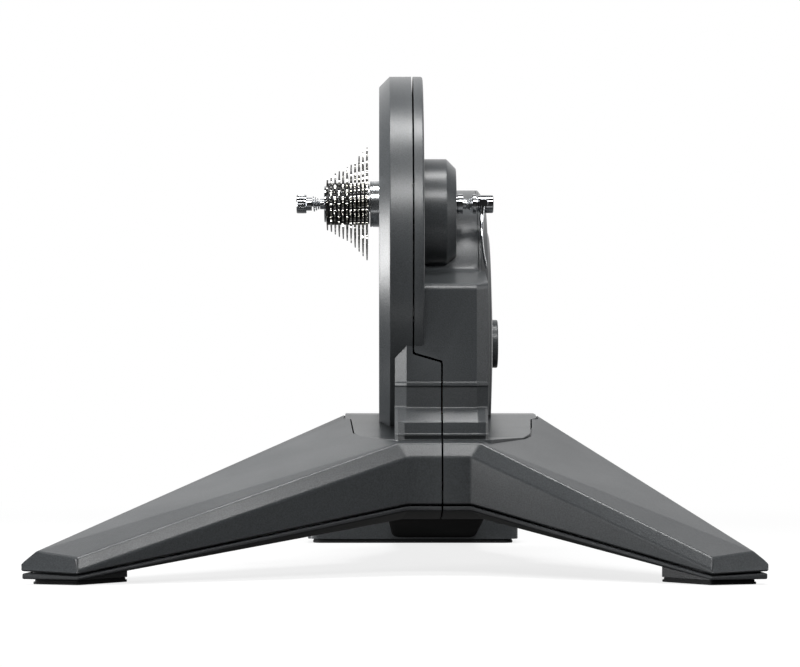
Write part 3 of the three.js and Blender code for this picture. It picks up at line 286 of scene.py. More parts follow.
def woundCoil(finish):
    # Enamelled copper wire wound in layers: even ridges a wire apart, with a warm varnish gloss; the grooves
    # between the turns are painted darker as shade
    material, tree = newMaterial(finish["name"])
    point = addNode(tree, "ShaderNodeTexCoord").outputs["Object"]
    turns = addNode(tree, "ShaderNodeTexWave",
                    {"Scale": 1 / (finish["wireMm"] * mm) / 6.28, "Distortion": 0.4, "bands_direction": "X"},
                    {"Vector": point}).outputs["Fac"]
    colour = addNode(tree, "ShaderNodeMix", {"data_type": "RGBA", 6: finish["dark"], 7: finish["light"]},
                     {0: turns})
    bump = addNode(tree, "ShaderNodeBump", {"Strength": 0.8, "Distance": 0.3 * mm}, {"Height": turns})
    shader = addNode(tree, "ShaderNodeBsdfPrincipled", {"Metallic": 0.85, "Roughness": 0.32, "Coat Weight": 0.4},
                     {"Base Color": colour.outputs[2], "Normal": bump.outputs[0]})
    addNode(tree, "ShaderNodeOutputMaterial", None, {"Surface": shader.outputs[0]})
    return material


def maskedBoard(finish):
    # Green solder mask over copper tracks, which show as slightly raised paler runs
    material, tree = newMaterial(finish["name"])
    point = addNode(tree, "ShaderNodeTexCoord").outputs["Object"]
    tracks = addNode(tree, "ShaderNodeTexVoronoi",
                     {"Scale": 1 / (finish["trackMm"] * mm), "feature": "F1", "distance": "CHEBYCHEV"},
                     {"Vector": point})
    step = addNode(tree, "ShaderNodeMapRange", {"From Min": 0.28, "From Max": 0.34},
                   {"Value": tracks.outputs["Distance"]})
    colour = addNode(tree, "ShaderNodeMix", {"data_type": "RGBA", 6: finish["light"], 7: finish["dark"]},
                     {0: step.outputs[0]})
    bump = addNode(tree, "ShaderNodeBump", {"Strength": 0.3, "Distance": 0.05 * mm, "invert": True},
                   {"Height": step.outputs[0]})
    shader = addNode(tree, "ShaderNodeBsdfPrincipled", {"Roughness": 0.38, "IOR": 1.5},
                     {"Base Color": colour.outputs[2], "Normal": bump.outputs[0]})
    addNode(tree, "ShaderNodeOutputMaterial", None, {"Surface": shader.outputs[0]})
    return material


plastics = [
    # Dark grey shells with a satin sheen that rolls off softly
    {"name": "texturedAbsCasing", "dark": "#37393b", "light": "#494c4e", "edge": "#5c5f61",
     "grainMm": 1.1, "rough": 0.31, "bump": 0.5, "specular": 0.5, "edgeHighlightShare": 0.4},
    # A shade darker and drier, so the legs' facets part clearly
    {"name": "powderCoatedLeg", "dark": "#2e3032", "light": "#3f4244", "edge": "#585b5d",
     "grainMm": 1.3, "rough": 0.34, "bump": 0.6, "specular": 0.5, "edgeHighlightShare": 0.4},
    # A dull lip under the legs' shadow gap
    {"name": "mouldedAbsTray", "dark": "#2a2b2d", "light": "#393b3d", "edge": "#525557",
     "grainMm": 1.3, "rough": 0.5, "bump": 0.5, "specular": 0.35, "edgeHighlightShare": 0.4},
    # Nearly black and without gloss: painted shade, standing in for the shadow on the rear leg's underside
    {"name": "paintedShadeTray", "dark": "#050505", "light": "#090909", "edge": "#161617",
     "grainMm": 1.3, "rough": 0.75, "bump": 0.5, "specular": 0.02, "edgeHighlightShare": 0.3},
    # Soft black that takes no clear highlight
    {"name": "mouldedRubberFoot", "dark": "#121314", "light": "#1d1e1f", "edge": "#2c2d2e",
     "grainMm": 1.6, "rough": 0.72, "bump": 0.9, "specular": 0.25, "edgeHighlightShare": 0.3},
    # Coarser and dusty, as a running belt is
    {"name": "ribbedRubberBelt", "dark": "#101112", "light": "#1b1c1d", "edge": "#2a2b2c",
     "grainMm": 2.0, "rough": 0.68, "bump": 1.0, "specular": 0.25, "edgeHighlightShare": 0.2},
    # Smooth and shiny beside the grained casing
    {"name": "mouldedNylonInlet", "dark": "#0e0f10", "light": "#17181a", "edge": "#2a2c2e",
     "grainMm": 0.8, "rough": 0.3, "bump": 0.2, "specular": 0.5, "edgeHighlightShare": 0.3},
    # Lumpy cast skin under grey paint
    {"name": "paintedCastIron", "dark": "#4b4e50", "light": "#686b6d", "edge": "#85888a",
     "grainMm": 2.4, "rough": 0.55, "bump": 1.0, "specular": 0.4, "edgeHighlightShare": 0.6},
    # Black paint, paler at the tube's corners as a painted edge highlight
    {"name": "paintedSteelBeam", "dark": "#1b1c1d", "light": "#27292a", "edge": "#4a4c4e",
     "grainMm": 1.8, "rough": 0.42, "bump": 0.4, "specular": 0.5, "edgeHighlightShare": 0.5},
    # Black nylon rings that part the bright sprockets, darkened to near black as painted shade in the gaps
    # between them
    {"name": "blackNylonAndShadeSpacer", "dark": "#060606", "light": "#0b0b0c", "edge": "#161617",
     "grainMm": 0.9, "rough": 0.4, "bump": 0.2, "specular": 0.35, "edgeHighlightShare": 0.2},
]
metals = [
    # Warm bright plating that flashes at the teeth
    {"name": "nickelPlatedSprocket", "light": "#cdccc8", "dark": "#98978f", "axis": axleLine,
     "markMm": 0.9, "rough": 0.08, "bump": 0.1, "metallic": 1.0},
    # Mirror bands of black and white
    {"name": "polishedChromeSkewer", "light": "#bcbec0", "dark": "#94969a", "axis": axleLine,
     "markMm": 0.6, "rough": 0.055, "bump": 0.05, "metallic": 1.0},
    # Even grey with a fine ground lay
    {"name": "groundSteelAxle", "light": "#c3c5c7", "dark": "#9a9c9f", "axis": axleLine,
     "markMm": 0.5, "rough": 0.24, "bump": 0.3, "metallic": 1.0},
    # Pale rings left by the lathe
    {"name": "turnedAluminiumHub", "light": "#d6d8da", "dark": "#b7babd", "axis": axleLine,
     "markMm": 0.7, "rough": 0.2, "bump": 0.35, "metallic": 1.0},
    # Darker, coarser rings on the heavy wheel
    {"name": "turnedSteelFlywheel", "light": "#a5a7a9", "dark": "#7e8083", "axis": flywheelLine,
     "markMm": 0.9, "rough": 0.32, "bump": 0.4, "metallic": 1.0},
    # Bluish grey, a little cloudy
    {"name": "zincPlatedSteel", "light": "#babdc0", "dark": "#94979a", "axis": axleLine,
     "markMm": 0.8, "rough": 0.3, "bump": 0.2, "metallic": 1.0},
    # Oily black that still shines like metal
    {"name": "blackOxideSteel", "light": "#3a3c3e", "dark": "#222325", "axis": flywheelLine,
     "markMm": 0.9, "rough": 0.35, "bump": 0.3, "metallic": 0.9},
]
coil = {"name": "enamelledCopperCoil", "dark": "#6b2f16", "light": "#b4683b", "wireMm": 0.8}
board = {"name": "solderMaskedBoard", "dark": "#12402a", "light": "#2b6a47", "trackMm": 4}
finishes = {finish["name"]: mouldedPlastic(finish) for finish in plastics}
finishes.update({finish["name"]: workedMetal(finish) for finish in metals})
finishes.update({coil["name"]: woundCoil(coil), board["name"]: maskedBoard(board)})
print("finishes are made")


# Mesh helpers. All lengths are millimetres until linkPiece scales them.
def rounded(points, radius, closed=False, steps=4):
    # Each corner of a flat line becomes an arc; radius may be one number or one for each corner
    made = []
    count = len(points)
    radii = radius if isinstance(radius, (list, tuple)) else [radius] * count
    most = 0.48  # share of a side that one corner may take
    for i, corner in enumerate(points):
        if not closed and i in (0, count - 1) or radii[i] <= 0:
            made.append(tuple(corner))
            continue
        here = Vector(corner)
        before = Vector(points[i - 1]) - here
        after = Vector(points[(i + 1) % count]) - here
        angle = before.angle(after)
        if angle > math.pi - 0.02:  # all but straight
            made.append(tuple(corner))
            continue
        reach = min(radii[i] / math.tan(angle / 2), before.length * most, after.length * most)
        start, end = here + before.normalized() * reach, here + after.normalized() * reach
        for k in range(steps + 1):
            t = k / steps
            made.append(tuple(start.lerp(here, t).lerp(here.lerp(end, t), t)))
    return made


def aroundAxle(radius, angle):
    return place["axleY"] + radius * math.cos(angle), place["axleZ"] + radius * math.sin(angle)


def circleLine(x, z, radius, sides):
    angles = [2 * math.pi * k / sides for k in range(sides)]
    return [(x + radius * math.cos(a), z + radius * math.sin(a)) for a in angles]


def meshOf(points, faces):
    mesh = bpy.data.meshes.new("made")
    mesh.from_pydata([tuple(p) for p in points], [], faces)
    solid = bmesh.new()
    solid.from_mesh(mesh)
    bmesh.ops.remove_doubles(solid, verts=solid.verts, dist=1e-4)
    bmesh.ops.recalc_face_normals(solid, faces=solid.faces)
    solid.to_mesh(mesh)
    solid.free()
    return mesh


def turnedMesh(profile, y, z, sides):
    # Profile of [x, radius], turned round a line along X
    points, faces = [], []
    count = len(profile)
    for i in range(sides):
        angle = 2 * math.pi * i / sides
        c, s = math.cos(angle), math.sin(angle)
        points += [(x, y + r * c, z + r * s) for x, r in profile]
    for i in range(sides):
        j = (i + 1) % sides
        for k in range(count - 1):
            a, b = i * count + k, i * count + k + 1
            c, d = j * count + k + 1, j * count + k
            if profile[k][1] < 1e-6:
                faces.append((a, b, c))
            elif profile[k + 1][1] < 1e-6:
                faces.append((a, b, d))
            else:
                faces.append((a, b, c, d))
    return meshOf(points, faces)


def pinMesh(left, right, radius, line, sides):
    # A plain cylinder along X, round a line given as [y, z]
    return turnedMesh([(left, 0), (left, radius), (right, radius), (right, 0)], *line, sides)


def onAxleMesh(profile, radii, sides=96):
    return turnedMesh(rounded(profile, radii, steps=3), *axleLine, sides)


def loftMesh(rings):
    count = len(rings[0])
    points = [p for ring in rings for p in ring]
    faces = [tuple(range(count)), tuple(range((len(rings) - 1) * count, len(rings) * count))]
    for r in range(len(rings) - 1):
        for i in range(count):
            j = (i + 1) % count
            faces.append((r * count + i, r * count + j, (r + 1) * count + j, (r + 1) * count + i))
    return meshOf(points, faces)


def prismMesh(line, axis, start, end):
    # A flat closed line pushed along an axis: x takes [y, z], y takes [x, z], z takes [x, y]
    at = "xyz".index(axis)
    return loftMesh([[(*p[:at], t, *p[at:]) for p in line] for t in (start, end)])


def changed(mesh, kind, settings):
    item = bpy.data.objects.new("working", mesh)
    bpy.context.scene.collection.objects.link(item)
    modifier = item.modifiers.new(kind.lower(), kind)
    for key, value in settings.items():
        setattr(modifier, key, value)
    result = bpy.data.meshes.new_from_object(item.evaluated_get(bpy.context.evaluated_depsgraph_get()))
    bpy.data.objects.remove(item)
    return result


def bevelled(mesh, width, segments=3, angle=10):
    return changed(mesh, "BEVEL", {"width": width, "segments": segments, "limit_method": "ANGLE",
                                   "angle_limit": math.radians(angle), "use_clamp_overlap": True})


def combined(mesh, operation, *tools):
    for tool in tools:
        item = bpy.data.objects.new("tool", tool)
        bpy.context.scene.collection.objects.link(item)
        mesh = changed(mesh, "BOOLEAN", {"operation": operation, "object": item, "solver": "MANIFOLD"})
        bpy.data.objects.remove(item)
    return mesh


def tidied(mesh):
    # Slivers go, and flat faces are joined
    solid = bmesh.new()
    solid.from_mesh(mesh)
    bmesh.ops.remove_doubles(solid, verts=solid.verts, dist=0.01)
    bmesh.ops.dissolve_degenerate(solid, edges=solid.edges, dist=0.01)
    bmesh.ops.dissolve_limit(solid, verts=solid.verts, edges=solid.edges, angle_limit=math.radians(0.4))
    solid.to_mesh(mesh)
    solid.free()
    return mesh


def linkPiece(name, mesh, finish, body, replaced, smooth=28, weighted=True):
    mesh.name = name
    mesh.transform(Matrix.Scale(mm, 4))
    mesh.materials.clear()
    mesh.materials.append(finishes[finish])
    mesh.shade_smooth()
    mesh.set_sharp_from_angle(angle=math.radians(smooth))
    piece = bpy.data.objects.new(name, mesh)
    bpy.context.scene.collection.objects.link(piece)
    if weighted:
        modifier = piece.modifiers.new("faceWeights", "WEIGHTED_NORMAL")
        modifier.keep_sharp = True
    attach(piece, body)
    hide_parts(*replaced)
    return piece


# Casing: a round belt box, a boss round the axle, the flywheel drum and the neck, on a deck
casing = {
    "discRadius": 170.2, "discLeft": -13.6, "discRight": 27.4, "discSplit": 17.5, "discChamfer": 10,
    "discRound": 2.4,
    "bossRadius": 51.1, "bossRight": 58.3, "bossChamfer": 9, "bossRound": 2.2,
    "drumRadius": 150, "drumLeft": 27, "drumRight": 79.5, "drumOpen": 20, "drumRound": 0.6, "coverRoomX": 97,
    "neckLeft": 0.9, "neckRight": 85.2, "neckChamfer": (10.4, 7), "neckFrontY": -186, "neckTopZ": 262,
    "shoulderY": -104, "shoulderZ": 276, "neckBackY": 20, "waistDepth": 6, "waistTopZ": 168, "waistZ": 150,
    "plinthReach": 9, "plinthTopZ": 137, "plinthFootZ": 110, "lipTopZ": 126.4, "lipFootZ": 124.8,
    "lipReach": 0.9, "lipRecess": 2.6, "neckLip": 0.7, "plinthCorner": 8.5,
    "sweep": [(19.8, 31), (44, 24)], "footReach": 20,
    "neckRounds": [0, 0, 0.3, 0.5, 0.5, 0.6, 2, 3, 0.8, 0.5, 0.5, 0.8, 7, 24, 0, 0, 0],
    "hollowRounds": [0, 0, 2, 3, 4, 7, 12, 0], "edgeRound": 1.6, "sides": 144,
    "splitHighZ": 199, "splitLowZ": 191.5, "splitFootZ": 27, "splitRoofZ": 480, "splitFar": (-160, 240),
    "axleHole": 9.8, "hubOpening": 23.5, "shaftHole": 23.5, "shaftEnd": 47,
    "inletX": 62, "inletZ": 168, "inletHole": 5.8, "inletSeat": 8.3, "inletDepth": 20,
}
deck = {
    "side": [(-195, 121.2), (-144, 122), (-36, 142), (10, 142.5), (150, 112)],
    # Half of the plate's outline, and how much each corner moves when it grows
    "half": [(42, -195, 0.5, -1), (74, -144, 1, -1), (81.5, -125, 1, 0), (85, -60, 1, 0), (91, -54, 1, 0),
             (91, 10, 1, 0), (46, 150, 1, 1)],
    "thickness": 4, "ledge": 6, "cornerRound": 4, "frontRound": 12.0, "topRound": 14, "edgeRound": 0.7,
    "gap": 1.3, "lowZ": 90, "highZ": 161, "endY": 345, "roofZ": 500, "left": -120, "right": 210,
}


def deckLine(grow):
    half = [(x + a * grow, y + b * grow) for x, y, a, b in deck["half"]]
    x = place["baseX"]
    line = [(x + a, b) for a, b in half] + [(x - a, b) for a, b in reversed(half)]
    radii = [deck["cornerRound"] + grow] * len(half)
    radii[1] = radii[2] = deck["frontRound"]
    return rounded(line, radii + radii[::-1], closed=True)


def aboveDeck(below):
    # All the room over the deck's top, or over a level below it
    line = [(y, z - below) for y, z in deck["side"]]
    end = deck["endY"]
    rise = (line[1][1] - line[0][1]) / (line[1][0] - line[0][0])
    fall = (line[-1][1] - line[-2][1]) / (line[-1][0] - line[-2][0])
    line[0] = (-end, line[0][1] + rise * (-end - line[0][0]))
    line[-1] = (end, line[-1][1] + fall * (end - line[-1][0]))
    line = rounded(line, deck["topRound"], steps=5)
    return prismMesh(line + [(end, deck["roofZ"]), (-end, deck["roofZ"])], "x", deck["left"], deck["right"])


def neckRing(x, back, footBack, inset):
    # One section of neck and plinth; back and footBack set it back at the chamfered ends
    c = casing
    front = c["neckFrontY"] + back + inset
    lift = inset - back * (c["shoulderZ"] - c["neckTopZ"]) / (c["shoulderY"] - c["neckFrontY"])
    rear, foot = c["neckBackY"] - inset, c["plinthFootZ"] - inset * c["footReach"]
    face = c["neckFrontY"] + footBack + inset - c["plinthReach"]
    plinth, radii = [(rear, foot), (face, foot)], c["hollowRounds"]
    edge = [(front, c["waistTopZ"] + inset / 2)]
    shoulder = [(c["shoulderY"] + back, c["shoulderZ"] - lift)]
    if inset == 0:
        # A thin lip runs round the plinth's foot, over a set-back step that stands in its shadow
        step, lip, radii = face + c["lipRecess"], face - c["lipReach"], c["neckRounds"]
        plinth = [(rear, foot), (step, foot), (step, c["lipFootZ"]), (lip, c["lipFootZ"]), (lip, c["lipTopZ"]),
                  (face, c["lipTopZ"] + 0.5)]
        # The neck's lower edge is a thin raised bead, and its shoulder sweeps up into the drum's curve
        bead, low = front - c["neckLip"], c["waistTopZ"]
        edge = [(front + 1.2, low + 0.8), (bead, low + 1.8), (bead, low + 4.2), (front, low + 5.4)]
        (nearY, nearZ), (farY, farZ) = c["sweep"]
        shoulder += [(c["shoulderY"] + nearY + back, c["shoulderZ"] + nearZ),
                     (c["shoulderY"] + farY, c["shoulderZ"] + farZ)]
    line = plinth + [(face, c["plinthTopZ"] - inset / 2), (front + c["waistDepth"], c["waistZ"])] + edge
    line += [(front, c["neckTopZ"] - lift)] + shoulder + [(rear, c["shoulderZ"] - inset)]
    return [(x, y, z) for y, z in rounded(line, radii, closed=True)]


def neckMesh(inset):
    c = casing
    width, depth = c["neckChamfer"]
    corner = c["plinthCorner"]
    ends = []
    for k in range(3):
        angle = math.pi / 4 * k
        across = corner * (1 - math.cos(angle))
        ends.append((across + inset, depth * (1 - across / width), corner * (1 - math.sin(angle))))
    ends.append((width + inset / 2, 0, 0))
    mesh = loftMesh([neckRing(c["neckLeft"] + across, *backs, inset) for across, *backs in ends]
                    + [neckRing(c["neckRight"] - across, *backs, inset) for across, *backs in reversed(ends)])
    return mesh if inset else bevelled(mesh, c["edgeRound"], 3, 22)


def splitTool(shift, far):
    # All that lies on one side of the stepped middle seam
    c = casing
    x, high, foot, roof = place["splitX"] + shift, c["discSplit"] + shift, c["splitFootZ"], c["splitRoofZ"]
    line = [(far, foot), (x, foot), (x, c["splitLowZ"] + shift), (high, c["splitHighZ"] + shift), (high, roof),
            (far, roof)]
    return prismMesh(rounded(line, [0, 0, 2.5, 2.5, 0, 0], closed=True), "y", -360, deck["endY"])


def casingSkins(c):
    # The outer forms and the hollows inside them
    discLine, bossLine = (place["discY"], place["discZ"]), (place["axleY"], place["bossZ"])
    discStep, discEdge = c["discRadius"] - c["discChamfer"], c["discLeft"] + c["discChamfer"]
    bossStep, bossEdge = c["bossRadius"] - c["bossChamfer"], c["bossRight"] - c["bossChamfer"]
    right, start = c["discRight"], c["discRight"] - wall
    disc = rounded([(c["discLeft"], 0), (c["discLeft"], discStep), (discEdge, c["discRadius"]),
                    (right, c["discRadius"]), (right, 0)],
                   [0, c["edgeRound"], c["edgeRound"], c["discRound"], 0])
    discHollow = [(c["discLeft"] + wall, 0), (c["discLeft"] + wall, discStep - wall / 2),
                  (discEdge + wall / 2, c["discRadius"] - wall), (start, c["discRadius"] - wall), (start, 0)]
    boss = rounded([(start, 0), (start, c["bossRadius"]), (bossEdge, c["bossRadius"]),
                    (c["bossRight"], bossStep), (c["bossRight"], 0)], [0, 0, c["bossRound"], c["bossRound"], 0])
    bossHollow = [(right - 2 * wall, 0), (right - 2 * wall, c["bossRadius"] - wall),
                  (bossEdge - wall / 2, c["bossRadius"] - wall), (c["bossRight"] - wall, bossStep - wall / 2),
                  (c["bossRight"] - wall, 0)]
    drum = rounded([(c["drumLeft"], 0), (c["drumLeft"], c["drumRadius"]), (c["drumRight"], c["drumRadius"]),
                    (c["drumRight"], 0)], [0, 0, c["drumRound"], 0])
    drumHollow = pinMesh(c["drumLeft"] + wall, c["drumRight"] + c["drumOpen"], c["drumRadius"] - wall,
                         flywheelLine, 64)
    return ([turnedMesh(disc, *discLine, c["sides"]), turnedMesh(boss, *bossLine, 96),
             turnedMesh(drum, *flywheelLine, c["sides"]), neckMesh(0)],
            [turnedMesh(discHollow, *discLine, 64), turnedMesh(bossHollow, *bossLine, 48),
             drumHollow, neckMesh(wall)])


def casingHoles(c):
    coverRoom = pinMesh(c["drumRight"], c["coverRoomX"], c["drumRadius"] + gap, flywheelLine, c["sides"])
    x, z, depth = c["inletX"], c["inletZ"], c["inletDepth"]
    back = place["flywheelY"] + math.sqrt(c["drumRadius"] ** 2 - (place["flywheelZ"] - z) ** 2)
    return [pinMesh(0, 80, c["axleHole"], axleLine, 48), pinMesh(-40, 0, c["hubOpening"], axleLine, 64),
            pinMesh(0, c["shaftEnd"], c["shaftHole"], flywheelLine, 48),
            prismMesh(circleLine(x, z, c["inletHole"], 32), "y", back - depth, back + depth),
            prismMesh(circleLine(x, z, c["inletSeat"], 32), "y", back, back + depth),
            combined(coverRoom, "INTERSECT", aboveDeck(0))]


def casingMeshes(c):
    plate = prismMesh(deckLine(0), "z", deck["lowZ"], deck["highZ"])
    plate = combined(plate, "INTERSECT", aboveDeck(deck["thickness"]))
    plate = combined(plate, "DIFFERENCE", aboveDeck(0))
    plate = bevelled(tidied(plate), deck["edgeRound"], 2, 40)
    (first, *rest), hollows = casingSkins(c)
    skin = combined(first, "UNION", *rest)
    skin = combined(skin, "INTERSECT", aboveDeck(deck["thickness"] - 1))
    skin = combined(skin, "DIFFERENCE", *hollows, *casingHoles(c))
    skin = combined(skin, "UNION", plate)
    half = place["seam"] / 2
    left = combined(skin.copy(), "INTERSECT", splitTool(-half, c["splitFar"][0]))
    return tidied(left), tidied(combined(skin, "INTERSECT", splitTool(half, c["splitFar"][1])))


for word, mesh in zip(("left", "right"), casingMeshes(casing)):
    linkPiece(word + "CasingShell", mesh, "texturedAbsCasing", "base", [word + "_casing"])
print("casings are made")


cover = {"rimX": 79.8, "rimRadius": 150, "edge": 2.2, "ringX": 89, "ringRadius": 141, "stepRadius": 113,
         "raisedX": 92.8, "raisedRadius": 107.5, "faceX": 95.2, "faceRadius": 60, "cutZ": 141.3}
cap = {"radius": 23.5, "length": 6.8, "rim": (4.5, 5.2), "dip": 0.7}


def coverMesh(c):
    outer = rounded([
        (c["rimX"], c["rimRadius"] - wall), (c["rimX"], c["rimRadius"]), (c["rimX"] + c["edge"], c["rimRadius"]),
        (c["ringX"], c["ringRadius"]), (c["ringX"], c["stepRadius"]), (c["raisedX"], c["raisedRadius"]),
        (c["faceX"], c["faceRadius"]), (c["faceX"], 0),
    ], [0, 0.2, 1.5, 3, 1.2, 4, 60, 0], steps=8)
    inner = [(c["faceX"] - wall, 0), (c["faceX"] - wall, c["faceRadius"]),
             (c["raisedX"] - wall, c["raisedRadius"] - wall), (c["ringX"] - wall, c["stepRadius"] - wall),
             (c["ringX"] - wall, c["ringRadius"] - wall), (c["rimX"], c["rimRadius"] - wall)]
    mesh = turnedMesh(outer + inner, *flywheelLine, 160)
    low = prismMesh([(-200, 0), (300, 0), (300, c["cutZ"]), (-200, c["cutZ"])], "x", 60, 120)
    return tidied(combined(mesh, "DIFFERENCE", low))


def capMesh(c):
    left = cover["faceX"] + gap
    right, r = left + c["length"], c["radius"]
    rim, inner = c["rim"]
    profile = rounded([(left, 0), (left, r), (right, r), (right, r - rim), (right - c["dip"], r - inner),
                       (right - c["dip"], 0)], [0, 0.4, 1.6, 0.5, 0.5, 0], steps=5)
    return turnedMesh(profile, *flywheelLine, 96)


linkPiece("flywheelDome", coverMesh(cover), "texturedAbsCasing", "base", ["flywheel_cover"])
linkPiece("domeCap", capMesh(cap), "texturedAbsCasing", "base", ["flywheel_cap"])
print("flywheel cover is made")


# Legs: faceted shells that meet in a hub, shallow trays under them, and feet
leg = {
    "hubFrontY": -210, "hubFaceHalf": 28, "hubRidgeHalf": 37.0, "hubSeamZ": 63.5, "hubLowRidgeZ": 106,
    "hubHighRidgeZ": 118.5, "hubHighRidgeY": -205, "hubSideZ": 130, "hubSideReach": 7, "deckHalf": 91,
    "faceShift": -4.4, "deckMidY": -36, "deckMidZ": 142, "rearSeamZ": 60, "tipHalf": 321, "tipFrontX": 271,
    "tipFrontY": -335, "tipSeamZ": 9, "tipLowRidgeZ": 12.4, "tipHighRidgeZ": 23.6, "tipTopX": 309,
    "tipTopY": -311, "tipTopZ": 28, "tipSideY": -320, "tipSideZ": 18, "tipSideSeamZ": 11,
    "tipRidgeBack": 4, "overlap": 24, "open": 20, "edgeRound": 2.4,
}
tray = {"lip": 4.2, "inset": 1.2, "bellyY": -140, "bellyZ": 47, "padThickness": 4, "footTopZ": 14,
        "footCorners": [(230, -288), (270, -330), (313, -317), (269, -268)], "footRound": 4}


def threeRings(side, hub, tip):
    # The hub's section past the middle, the same at the leg's root, and the tip's
    middle = place["splitX"] - side * leg["overlap"]
    return [hub(lambda h: middle), hub(lambda h: place["baseX"] + side * h), tip]


def legRings(side, inset, open):
    g = leg
    face, ridge = g["hubFaceHalf"] + side * g["faceShift"], g["hubRidgeHalf"] + side * g["faceShift"]
    outer, backY = g["deckHalf"] + g["hubSideReach"] - inset, g["deckMidY"] - inset
    frontX, frontY = side * (g["tipFrontX"] - inset), g["tipFrontY"] + 2 * inset
    endX, endY = side * (g["tipHalf"] - 1.7 * inset), g["tipSideY"] + inset / 2

    def hub(x):
        return [
            (x(face), g["hubFrontY"] + inset, g["hubSeamZ"] - open),
            (x(face), g["hubFrontY"] + inset, g["hubLowRidgeZ"] - inset / 2),
            (x(ridge), g["hubHighRidgeY"] + inset, g["hubHighRidgeZ"] - inset),
            (x(g["deckHalf"]), backY, g["deckMidZ"] - 1.5 * inset),
            (x(outer), backY, g["hubSideZ"] - inset), (x(outer), backY, g["rearSeamZ"] - open),
        ]

    tip = [
        (frontX, frontY, g["tipSeamZ"] - open), (frontX, frontY, g["tipLowRidgeZ"] - inset / 2),
        (frontX, g["tipFrontY"] + g["tipRidgeBack"] + 1.5 * inset, g["tipHighRidgeZ"] - inset),
        (side * (g["tipTopX"] - inset), g["tipTopY"] - inset / 2, g["tipTopZ"] - inset),
        (endX, endY, g["tipSideZ"] - inset / 2), (endX, endY, g["tipSideSeamZ"] - open),
    ]
    return threeRings(side, hub, tip)


def cutAtMiddle(mesh, side):
    # Keeps what lies on this side of the middle seam
    solid = bmesh.new()
    solid.from_mesh(mesh)
    geom = list(solid.verts) + list(solid.edges) + list(solid.faces)
    seamX = place["splitX"] + side * place["seam"] / 2
    cut = bmesh.ops.bisect_plane(solid, geom=geom, plane_co=(seamX, 0, 0),
                                 plane_no=(-side, 0, 0), clear_outer=True)
    rim = [e for e in cut["geom_cut"] if isinstance(e, bmesh.types.BMEdge)]
    bmesh.ops.contextual_create(solid, geom=rim)
    solid.normal_update()
    bmesh.ops.recalc_face_normals(solid, faces=solid.faces)
    solid.to_mesh(mesh)
    solid.free()
    return mesh


def deckTools():
    recess = prismMesh(deckLine(deck["gap"]), "z", 70, 480)
    recess = combined(recess, "INTERSECT", aboveDeck(deck["thickness"] + gap))
    return recess, prismMesh(deckLine(-deck["ledge"]), "z", 66, 480)


def legShellMesh(side):
    skin = cutAtMiddle(bevelled(loftMesh(legRings(side, 0, 0)), leg["edgeRound"], 4, 8), side)
    return tidied(combined(skin, "DIFFERENCE", loftMesh(legRings(side, wall, leg["open"])), *deckTools()))


def trayRings(side, inset, lift, drop):
    g, t = leg, tray
    seam = place["seam"] - lift
    floor = inset - drop
    face, frontY = g["hubFaceHalf"] + side * g["faceShift"], g["hubFrontY"] + t["inset"] + inset
    backY, belly = g["deckMidY"] - inset, t["bellyZ"] + floor

    def hub(x):
        return [
            (x(face), frontY, g["hubSeamZ"] - seam), (x(g["deckHalf"]), backY, g["rearSeamZ"] - seam),
            (x(g["deckHalf"]), backY, belly), (x(g["hubRidgeHalf"]), t["bellyY"], belly),
            (x(face), frontY, g["hubSeamZ"] - place["seam"] - t["lip"] + floor),
        ]

    frontX, endX = side * (g["tipFrontX"] - t["inset"] - inset), side * (g["tipHalf"] - t["inset"] - 1.7 * inset)
    tipY, endY = g["tipFrontY"] + t["inset"] + 2 * inset, g["tipSideY"] + inset / 2
    bottom = t["padThickness"] + gap + floor
    tip = [(frontX, tipY, g["tipSeamZ"] - seam), (endX, endY, g["tipSideSeamZ"] - seam), (endX, endY, bottom),
           ((frontX + endX) / 2, (tipY + endY) / 2 + inset / 2, bottom), (frontX, tipY, bottom)]
    return threeRings(side, hub, tip)


def footLine(side, grow):
    corners = [Vector(c) for c in tray["footCorners"]]
    middle = Vector((sum(c.x for c in corners) / 4, sum(c.y for c in corners) / 4))
    grown = [c + (c - middle).normalized() * grow for c in corners]
    return rounded([(side * p.x, p.y) for p in grown], tray["footRound"], closed=True)


def trayMesh(side):
    skin = cutAtMiddle(bevelled(loftMesh(trayRings(side, 0, 0, 0)), 1.2, 3, 12), side)
    skin = combined(skin, "DIFFERENCE", loftMesh(trayRings(side, wall, leg["open"], 0)))
    foot = prismMesh(footLine(side, 0), "z", tray["padThickness"] + gap, tray["footTopZ"])
    foot = combined(foot, "INTERSECT", loftMesh(trayRings(side, gap, -gap, leg["open"])))
    return tidied(combined(skin, "UNION", foot))


def padMesh(side):
    # Two layers: a wide sole and a narrower seat above it
    sole = bevelled(prismMesh(footLine(side, -0.2), "z", 0, 2.2), 0.5, 2, 40)
    seat = bevelled(prismMesh(footLine(side, -1.6), "z", 1.6, tray["padThickness"]), 0.3, 2, 40)
    return tidied(combined(sole, "UNION", seat))


for side, word in ((-1, "left"), (1, "right")):
    linkPiece(word + "LegShell", legShellMesh(side), "powderCoatedLeg", "base", [word + "_leg_shell"])
    linkPiece(word + "LegTray", trayMesh(side), "mouldedAbsTray", "base", [word + "_leg_cover"])
    linkPiece(word + "FootPad", padMesh(side), "mouldedRubberFoot", "base", [word + "_foot_pad"])
print("front legs are made")


rear = {"half": 46, "topInset": 12, "midSeamZ": 39, "endSeamZ": 12, "endTopZ": 40, "endY": 284.5, "rootY": -35.5,
        "left": -90, "right": 135, "frontY": 285, "backY": 335, "height": 30, "corner": 12, "chamfer": 8,
        "padEnds": 4.5, "trayPlates": [(-35.5, 98, 60), (10, 98, 60), (150, 52, 39), (284.5, 46, 12)],
        "trayCorner": [(7, 0), (2.4, 1.1), (0, 3.4)]}


